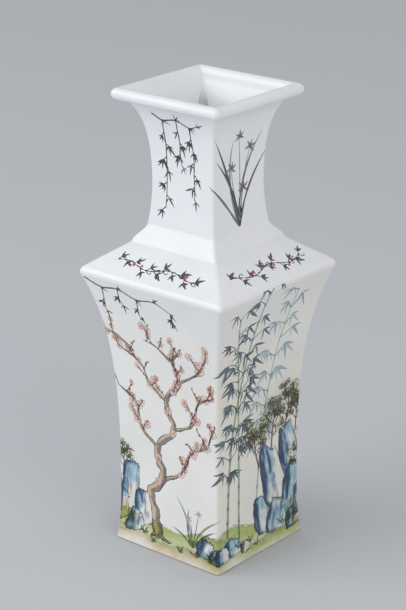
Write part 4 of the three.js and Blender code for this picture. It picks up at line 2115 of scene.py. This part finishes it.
@dataclass
class Lip(Ring):
    """Four rolls luted to the end of the neck's flare, mitred at the corners."""

    node = "lip"
    painted = False
    neck: Neck
    arris: float = 3
    tail_pull: float = 1.2
    step: float = 0.45
    flat: int = 120
    corner: int = 8

    def outline(self) -> Outline:
        """Draw the roll.

        Returns:
            Its outline: three quarters of a circle, then a curve down to the lining.
        """
        neck = self.neck
        flare = heading(neck.mouth_pitch)
        seat = neck.mouth + JOINT * flare
        inside = seat + neck.wall * heading(90 + neck.mouth_pitch)
        depth = float((seat - neck.lip_middle) @ flare)
        start = math.radians(neck.mouth_pitch) - math.acos(depth / neck.lip_radius)
        back = inside - neck.lip_middle
        turn = math.atan2(back[1], back[0]) % (2 * math.pi)
        end = turn - math.acos(neck.lip_radius / float(np.hypot(*back)))
        outer = Path.arc(neck.lip_middle, neck.lip_radius, start, 0, self.step)
        inner = Path.arc(neck.lip_middle, neck.lip_radius, 0, end, self.step)
        top, way = inner.points[-1], heading(math.degrees(end) + 90)
        pulls = top + self.tail_pull * way, inside + self.tail_pull * flare
        tail = Bezier(top, *pulls, inside).path(self.step)
        base = Path.line(inside, outer.points[0], 2)
        radii = [(neck.arris, self.arris), (self.arris, 0), (0, 0), (0, neck.arris)]
        return Outline([outer, inner, tail, base], radii, skin=2)


@dataclass
class Painting:
    """The garden plants of the seasons, one on each side, with vines above and sprays on the neck."""

    body: Sheet
    shoulder: Sheet
    neck: Sheet

    def paint(self) -> None:
        """Paint everything and store it on the meshes."""
        # Paper tint on each side; the strongest, on the right side, is partly painted shade, a warmer
        # and dimmer tone for that side.
        for side, strength in zip(Side, (0.42, 0.8, 0.45, 0.55)):
            self.body.age(side, Hue.CREAM, strength)
        self.plum_side()
        self.bamboo_side()
        self.daisy_side()
        self.orchid_side()
        self.ink_work()
        for sheet in (self.body, self.shoulder, self.neck):
            sheet.write()
            LOG.info("painted %d vertices a side", sheet.x.size)

    def banks(self, p: Painter, low: Hue, shift: float) -> None:
        """Two banks at the foot of a side.

        Args:
            p: the painter.
            low: colour of the lower bank.
            shift: how far the banks are moved along the side.
        """
        upper = [(-64, 25), (-38, 33), (-14, 26), (12, 22), (34, 28), (64, 25)]
        lower = [(-66, 11), (-30, 16), (-4, 10), (22, 13), (46, 9), (66, 11)]
        p.ground([(x + shift, up) for x, up in upper], 14, Hue.WILLOW, 0.9)
        p.ground([(x - shift, up) for x, up in lower], 9, low, 0.8)

    def plum_side(self) -> None:
        """Front: an old plum tree in blossom behind a blue rock."""
        p = Painter(self.body, Side.FRONT, 11)
        self.banks(p, Hue.SAND, 0)
        trunk = [(-9, 15), (-12, 31), (-16, 46), (-4, 62), (-9, 84)]
        trunk += [(7, 101), (1, 122), (14, 140), (10, 154), (19, 168)]
        branches = [
            ([(-9, 84), (-24, 96), (-28, 114), (-44, 124)], 2.6),
            ([(-3, 60), (14, 70), (22, 88), (37, 96), (43, 112)], 2.8),
            ([(7, 101), (24, 110), (31, 128), (45, 136)], 2.3),
            ([(1, 122), (-14, 133), (-21, 147), (-40, 156)], 2.2),
            ([(10, 154), (-4, 164), (-15, 167)], 1.6),
            ([(14, 140), (31, 151), (42, 166)], 1.8),
        ]
        for points, width in branches:
            p.blossoming(p.limb(points, width, 0.7), 6, 0.42)
        for root in ([(-8, 18), (-3, 13), (4, 12)], [(-10, 17), (-16, 12)]):
            p.limb(root, 4.5, 1.0)
        line = p.limb(trunk, 8.6, 1.4)
        p.blossoming(line, 43, 0.5)
        for i in (19, 26, 34, 40):
            p.blossom(line[i] + p.draw.normal(0, 1.5, 2), p.between(3.0, 4.0))
        p.tree((-43, 52), 24, 0.05, 0.03)
        back = [(-36, 44, 21, 44, 0.12, 0.4), (-23, 33, 18, 34, -0.1, 0.3)]
        p.rock([*back, (-46, 28, 18, 28, 0.1, 0.9), (-31, 20, 19, 20, 0.2, 0.6)])
        blades = [(118, 28, -0.4), (98, 38, 0.28), (72, 34, -0.45), (58, 26, -0.3), (135, 22, 0.3)]
        p.orchid((24, 15), blades, 1.9, p.green)
        p.orchid_flowers((24, 16), [(20, 36), (29, 42)], 4.0, MAUVE, p.green[1])
        p.rock([(36, 17, 19, 17, 0.25, 0.3), (47, 13, 16, 13, 0.0, 0.8)])
        p.grass((-52, -22, -14, 13, 28, 40, 52), 8)

    def bamboo_side(self) -> None:
        """Right: bamboo beside a tall blue rock with small trees on it."""
        p = Painter(self.body, Side.RIGHT, 23)
        self.banks(p, Hue.WILLOW, 6)
        far = [Brush(colour, 0.75) for colour in (Hue.TURQUOISE.light, Hue.BLUE.light)]
        near = [Brush(blend(*pair), 0.95) for pair in NEAR_BAMBOO]
        stems = (
            ([(-4, 30), (2, 90), (12, 150), (26, 206)], 1.8, far),
            ([(-36, 26), (-32, 90), (-22, 150), (-10, 210)], 2.7, near),
            ([(-23, 20), (-23, 80), (-27, 140), (-37, 196)], 2.1, near),
        )
        for points, width, brushes in stems:
            nodes = p.culm(points, width, brushes[0].tone)
            wood = Brush(blend(Hue.OLIVE, Hue.BLUE, 0.5) * 0.7, brushes[0].tone, Layer.INK)
            for i, node in enumerate(nodes[3:]):
                share = i / max(1, len(nodes) - 4)
                both = p.draw.random() < 0.5 + 0.3 * share
                for side in (1, -1) if both else ((1,) if i % 2 else (-1,)):
                    tip = p.twig(node, 90 - side * p.between(38, 66), p.between(7, 15), 0.55, wood)
                    size = p.between(12, 17)
                    angle, count = -90 + side * p.between(20, 50), int(p.draw.integers(3, 6))
                    p.spray(tip, angle, count, size, brushes)
                    if p.draw.random() < 0.6:
                        p.spray((node + tip) / 2, -90 + side * 30, 2, size * 0.8, brushes)
        trees = [((0, 68), 32, -0.15), ((14, 76), 36, 0.1), ((28, 88), 34, 0.12), ((42, 84), 28, 0.05)]
        for base, height, lean in trees:
            p.tree(base, height, lean, 0.1)
        back = [(35, 66, 24, 60, -0.2, 0.3), (15, 54, 26, 62, -0.25, 0.5), (38, 38, 22, 44, 0.1, 0.6)]
        low = [(2, 29, 19, 34, -0.2, 0.5), (20, 24, 22, 30, 0.15, 0.7), (39, 15, 21, 17, 0.0, 0.9)]
        p.rock(back + low)
        p.rock([(-31, 16, 19, 16, -0.2, 0.4), (-43, 13, 16, 13, 0.1, 0.8), (-17, 12, 13, 10, 0.2, 0.9)])
        p.grass((-52, -24, -10, -4, 26, 33, 50), 10)

    def daisy_side(self) -> None:
        """Back: chrysanthemums by a low rock."""
        p = Painter(self.body, Side.BACK, 37)
        self.banks(p, Hue.SAND, -5)
        stems = (
            ([(4, 18), (-4, 44), (-14, 64), (-24, 82)], 9.5, Hue.LEMON, Hue.OCHRE),
            ([(6, 18), (8, 56), (2, 90), (6, 120)], 10.5, Hue.BARE, Hue.CORAL),
            ([(9, 18), (18, 48), (26, 72), (33, 90)], 9.0, Hue.PINK, Hue.CORAL),
            ([(2, 18), (-8, 60), (-22, 104), (-20, 142)], 8.0, Hue.LEMON, Hue.OCHRE),
            ([(8, 18), (16, 76), (26, 120), (24, 160)], 8.5, Hue.LEMON, Hue.UMBER),
        )
        for points, radius, pale, deep in stems:
            line = bent(points, 8)
            p.stroke(line, np.linspace(1.5, 0.9, len(line)), p.green[0])
            for i in range(3, len(line) - 4, 3):
                side = 1 if (i // 3) % 2 else -1
                tip = p.twig(line[i], 90 - side * p.between(40, 75), p.between(3, 6), 0.6, p.green[1])
                p.lobed_leaf(tip, 90 - side * p.between(50, 100), p.between(5.5, 8.0), p.pick(p.green))
            p.daisy(line[-1], radius, Brush(pale.light), Brush(deep.light, 0.95))
        p.tree((-41, 40), 38, 0.05, 0.08)
        back = [(-34, 42, 21, 42, 0.15, 0.5), (-45, 29, 18, 30, 0.0, 0.8), (-23, 25, 20, 26, -0.15, 0.4)]
        p.rock([*back, (-38, 15, 21, 17, 0.0, 0.9), (38, 21, 20, 22, 0.2, 0.5)])
        p.grass((-54, -12, 0, 16, 28, 50), 10)

    def orchid_side(self) -> None:
        """Left: orchids and a rock under a plum branch that reaches round the corner."""
        p = Painter(self.body, Side.LEFT, 53)
        self.banks(p, Hue.SAND, 8)
        branches = [
            ([(24, 170), (12, 160), (6, 146), (-10, 134)], 1.9),
            ([(40, 161), (30, 148), (22, 142), (16, 126)], 1.7),
            ([(74, 156), (58, 166), (40, 161), (24, 170), (4, 166), (-12, 176), (-34, 170)], 2.6),
        ]
        for points, width in branches:
            p.blossoming(p.limb(points, width, 0.8), 6, 0.45)
        p.tree((33, 52), 38, -0.05, 0.1)
        back = [(22, 46, 23, 50, -0.12, 0.4), (38, 37, 21, 40, 0.1, 0.7)]
        p.rock([*back, (9, 27, 19, 30, -0.2, 0.6), (30, 19, 25, 21, 0.0, 0.8)], 1.0)
        rising = [(120, 56, -0.35), (104, 66, 0.3), (84, 60, -0.4)]
        rising += [(66, 44, -0.4), (138, 44, 0.4), (96, 48, 0.5)]
        p.orchid((-18, 20), rising, 2.1, p.green)
        p.orchid_flowers((-18, 20), [(-27, 62), (-13, 70), (-6, 56)], 4.6, MAUVE, p.green[1])
        p.rock([(-20, 17, 19, 15, 0.2, 0.5), (-37, 14, 17, 13, 0.0, 0.9)], 1.0)
        p.grass((-50, -8, 0, 18, 46), 10)

    def ink_work(self) -> None:
        """Ink bamboo above the plum and the chrysanthemums, vines above, sprays on the neck."""
        top = [(-60, 208), (-46, 203), (-30, 205), (-14, 200), (2, 202), (16, 196)]
        p = Painter(self.body, Side.FRONT, 61)
        p.ink_branch(top, [(1, 19), (2, 11), (3, 13), (5, 8)], 8.0)
        p = Painter(self.body, Side.BACK, 62)
        p.ink_branch([(-x, up) for x, up in top], [(1, 30), (3, 20), (4, 14)], 8.5)
        for side in Side:
            p = Painter(self.shoulder, side, 71 + side.value)
            wave = [(x, 15.5 + 2.2 * math.sin(x / 6.5 + side.value)) for x in range(-38, 41, 5)]
            p.trailing(wave, 7.4, 0.35)
            p = Painter(self.neck, side, 91 + side.value)
            if side in (Side.FRONT, Side.BACK):
                branch = [(-20, 99), (-12, 95), (0, 97), (11, 93), (18, 95)]
                p.ink_branch(branch, [(1, 64), (2, 34), (3, 52)], p.between(8.5, 10))
            else:
                ink = [fine(Hue.INK, tone) for tone in (0.95, 0.82, 0.7)]
                blades = [(112, 62, -0.28), (100, 70, 0.22), (86, 66, -0.3)]
                blades += [(72, 56, -0.25), (122, 44, 0.15), (94, 52, 0.4)]
                p.orchid((-2, 20), blades, 2.3, ink)
                flowers = [(-9, 62), (10, 74), (4, 46), (-3, 84)]
                p.orchid_flowers((0, 24), flowers, 5.8, ink[1], ink[0])


# Studio


@dataclass
class Studio:
    """A plain pale floor, a large soft key light from the front left and the camera.

    Azimuth is the way round from the front, distance the level one from the axis, yaw the turn of
    the view past the axis. Angles are in degrees, lengths in metres, but lens and film in
    millimetres. The floor goes as far as reach on each side, and the lamps aim at the vase's middle.
    """

    azimuth: float = 40.042
    distance: float = 1.3375
    height: float = 0.6737
    yaw: float = 0.170
    pitch: float = 20.258
    roll: float = -0.275
    lens: float = 118.41
    film: float = 36
    reach: float = 9
    aim: Triple = (0.0, 0.0, 0.17)
    floor_colour: Triple = linear(200, 202, 206)
    fleck_colour: Triple = (0.4, 0.4, 0.42)
    far_colour: Triple = linear(164, 166, 171)
    room_colour: Triple = (0.97, 0.98, 1.0)
    room_strength: float = 0.62

    def build_camera(self) -> None:
        """Stand the camera where the photograph was taken."""
        data = bpy.data.cameras.new("camera")
        data.lens, data.sensor_width, data.sensor_fit = self.lens, self.film, "AUTO"
        camera = new_object("camera", data)
        turn = Matrix.Rotation(math.radians(self.azimuth + self.yaw), 4, "Z")
        turn @= Matrix.Rotation(math.radians(90 - self.pitch), 4, "X")
        turn @= Matrix.Rotation(math.radians(self.roll), 4, "Z")
        at = math.radians(self.azimuth)
        place = Vector((self.distance * math.sin(at), -self.distance * math.cos(at), self.height))
        camera.matrix_world = Matrix.Translation(place) @ turn
        bpy.context.scene.camera = camera

    def build_floor(self) -> None:
        """Lay the floor, which the part doesn't keep."""
        mesh = bpy.data.meshes.new("floor")
        corners = [(x * self.reach, y * self.reach, 0) for x, y in ((-1, -1), (1, -1), (1, 1), (-1, 1))]
        mesh.from_pydata(corners, [], [(0, 1, 2, 3)])
        floor = new_object("floor", mesh)
        material = bpy.data.materials.new("floor_paper")
        pen = clean_pen(material)
        place = pen.node("ShaderNodeTexCoord", output="Object")
        flecks = pen.noise(place, 3.0, 2.0) * 0.06
        colour = pen.mix(flecks, self.floor_colour, self.fleck_colour)
        inputs = {"Base Color": colour, "Roughness": 0.85, "Specular IOR Level": 0.2}
        shader = pen.node("ShaderNodeBsdfPrincipled", {}, inputs)
        pen.node("ShaderNodeOutputMaterial", {}, {"Surface": shader})
        mesh.materials.append(material)

    def lamp(
        self, name: str, place: Triple, size: tuple[float, float], power: float, colour: Triple
    ) -> None:
        """Hang one soft lamp that points at the vase.

        Args:
            name: its name.
            place: where it hangs.
            size: its width and height.
            power: its power in watts.
            colour: its colour.
        """
        data = bpy.data.lights.new(name, "AREA")
        data.shape, (data.size, data.size_y) = "RECTANGLE", size
        data.energy, data.color = power, colour
        way = Vector(self.aim) - Vector(place)
        turn = way.to_track_quat("-Z", "Y").to_matrix().to_4x4()
        new_object(name, data).matrix_world = Matrix.Translation(place) @ turn

    def build_lights(self) -> None:
        """Hang the lamps and set the world."""
        self.lamp("key", (-1.45, -2.0, 1.35), (3.0, 2.28), 38.0, (0.94, 0.97, 1.0))
        self.lamp("fill", (2.0, -0.6, 1.1), (1.8, 1.37), 12.0, (1.0, 0.98, 0.94))
        world = bpy.data.worlds.new("pale_room")
        bpy.context.scene.world = world
        pen = clean_pen(world)
        ray = pen.node("ShaderNodeLightPath", output="Is Camera Ray")
        glossy = pen.node("ShaderNodeLightPath", output="Is Glossy Ray")
        inputs = {"Color": self.room_colour, "Strength": self.room_strength}
        light = pen.node("ShaderNodeBackground", {}, inputs)
        seen = pen.node("ShaderNodeBackground", {}, {"Color": self.far_colour, "Strength": 1.0})
        shader = pen.node("ShaderNodeMixShader", {}, {0: ray.most(glossy), 1: light, 2: seen})
        pen.node("ShaderNodeOutputWorld", {}, {"Surface": shader})
        bpy.context.scene.view_settings.view_transform = "Standard"

    def build(self) -> None:
        """Set the whole studio up."""
        self.build_camera()
        self.build_floor()
        self.build_lights()


def main() -> None:
    """Build the studio and the vase, and report each piece."""
    logging.basicConfig(level=logging.INFO, format="%(message)s")
    Studio().build()
    plain = Glaze().material()
    painted = Glaze("painted_porcelain", painted=True).material()
    # The rolls' glaze has painted shade: it greys below the mouth.
    seam = Glaze("seam_glaze", shaded=True).material()
    maker = Maker(SlabTree().build(), FilletTree().build(), plain, painted, seam)
    body = Body()
    neck = Neck(body)
    sheets = [Sheet(part.build(maker)) for part in (body, Shoulder(body), neck)]
    Lip(neck).build(maker)
    Painting(*sheets).paint()
    # The imported rolls take the glaze with painted shade, the rest the plain glaze.
    for name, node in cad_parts.items():
        node.data.materials.clear()
        node.data.materials.append(seam if "roll" in name else plain)


if __name__ == "__main__":
    main()
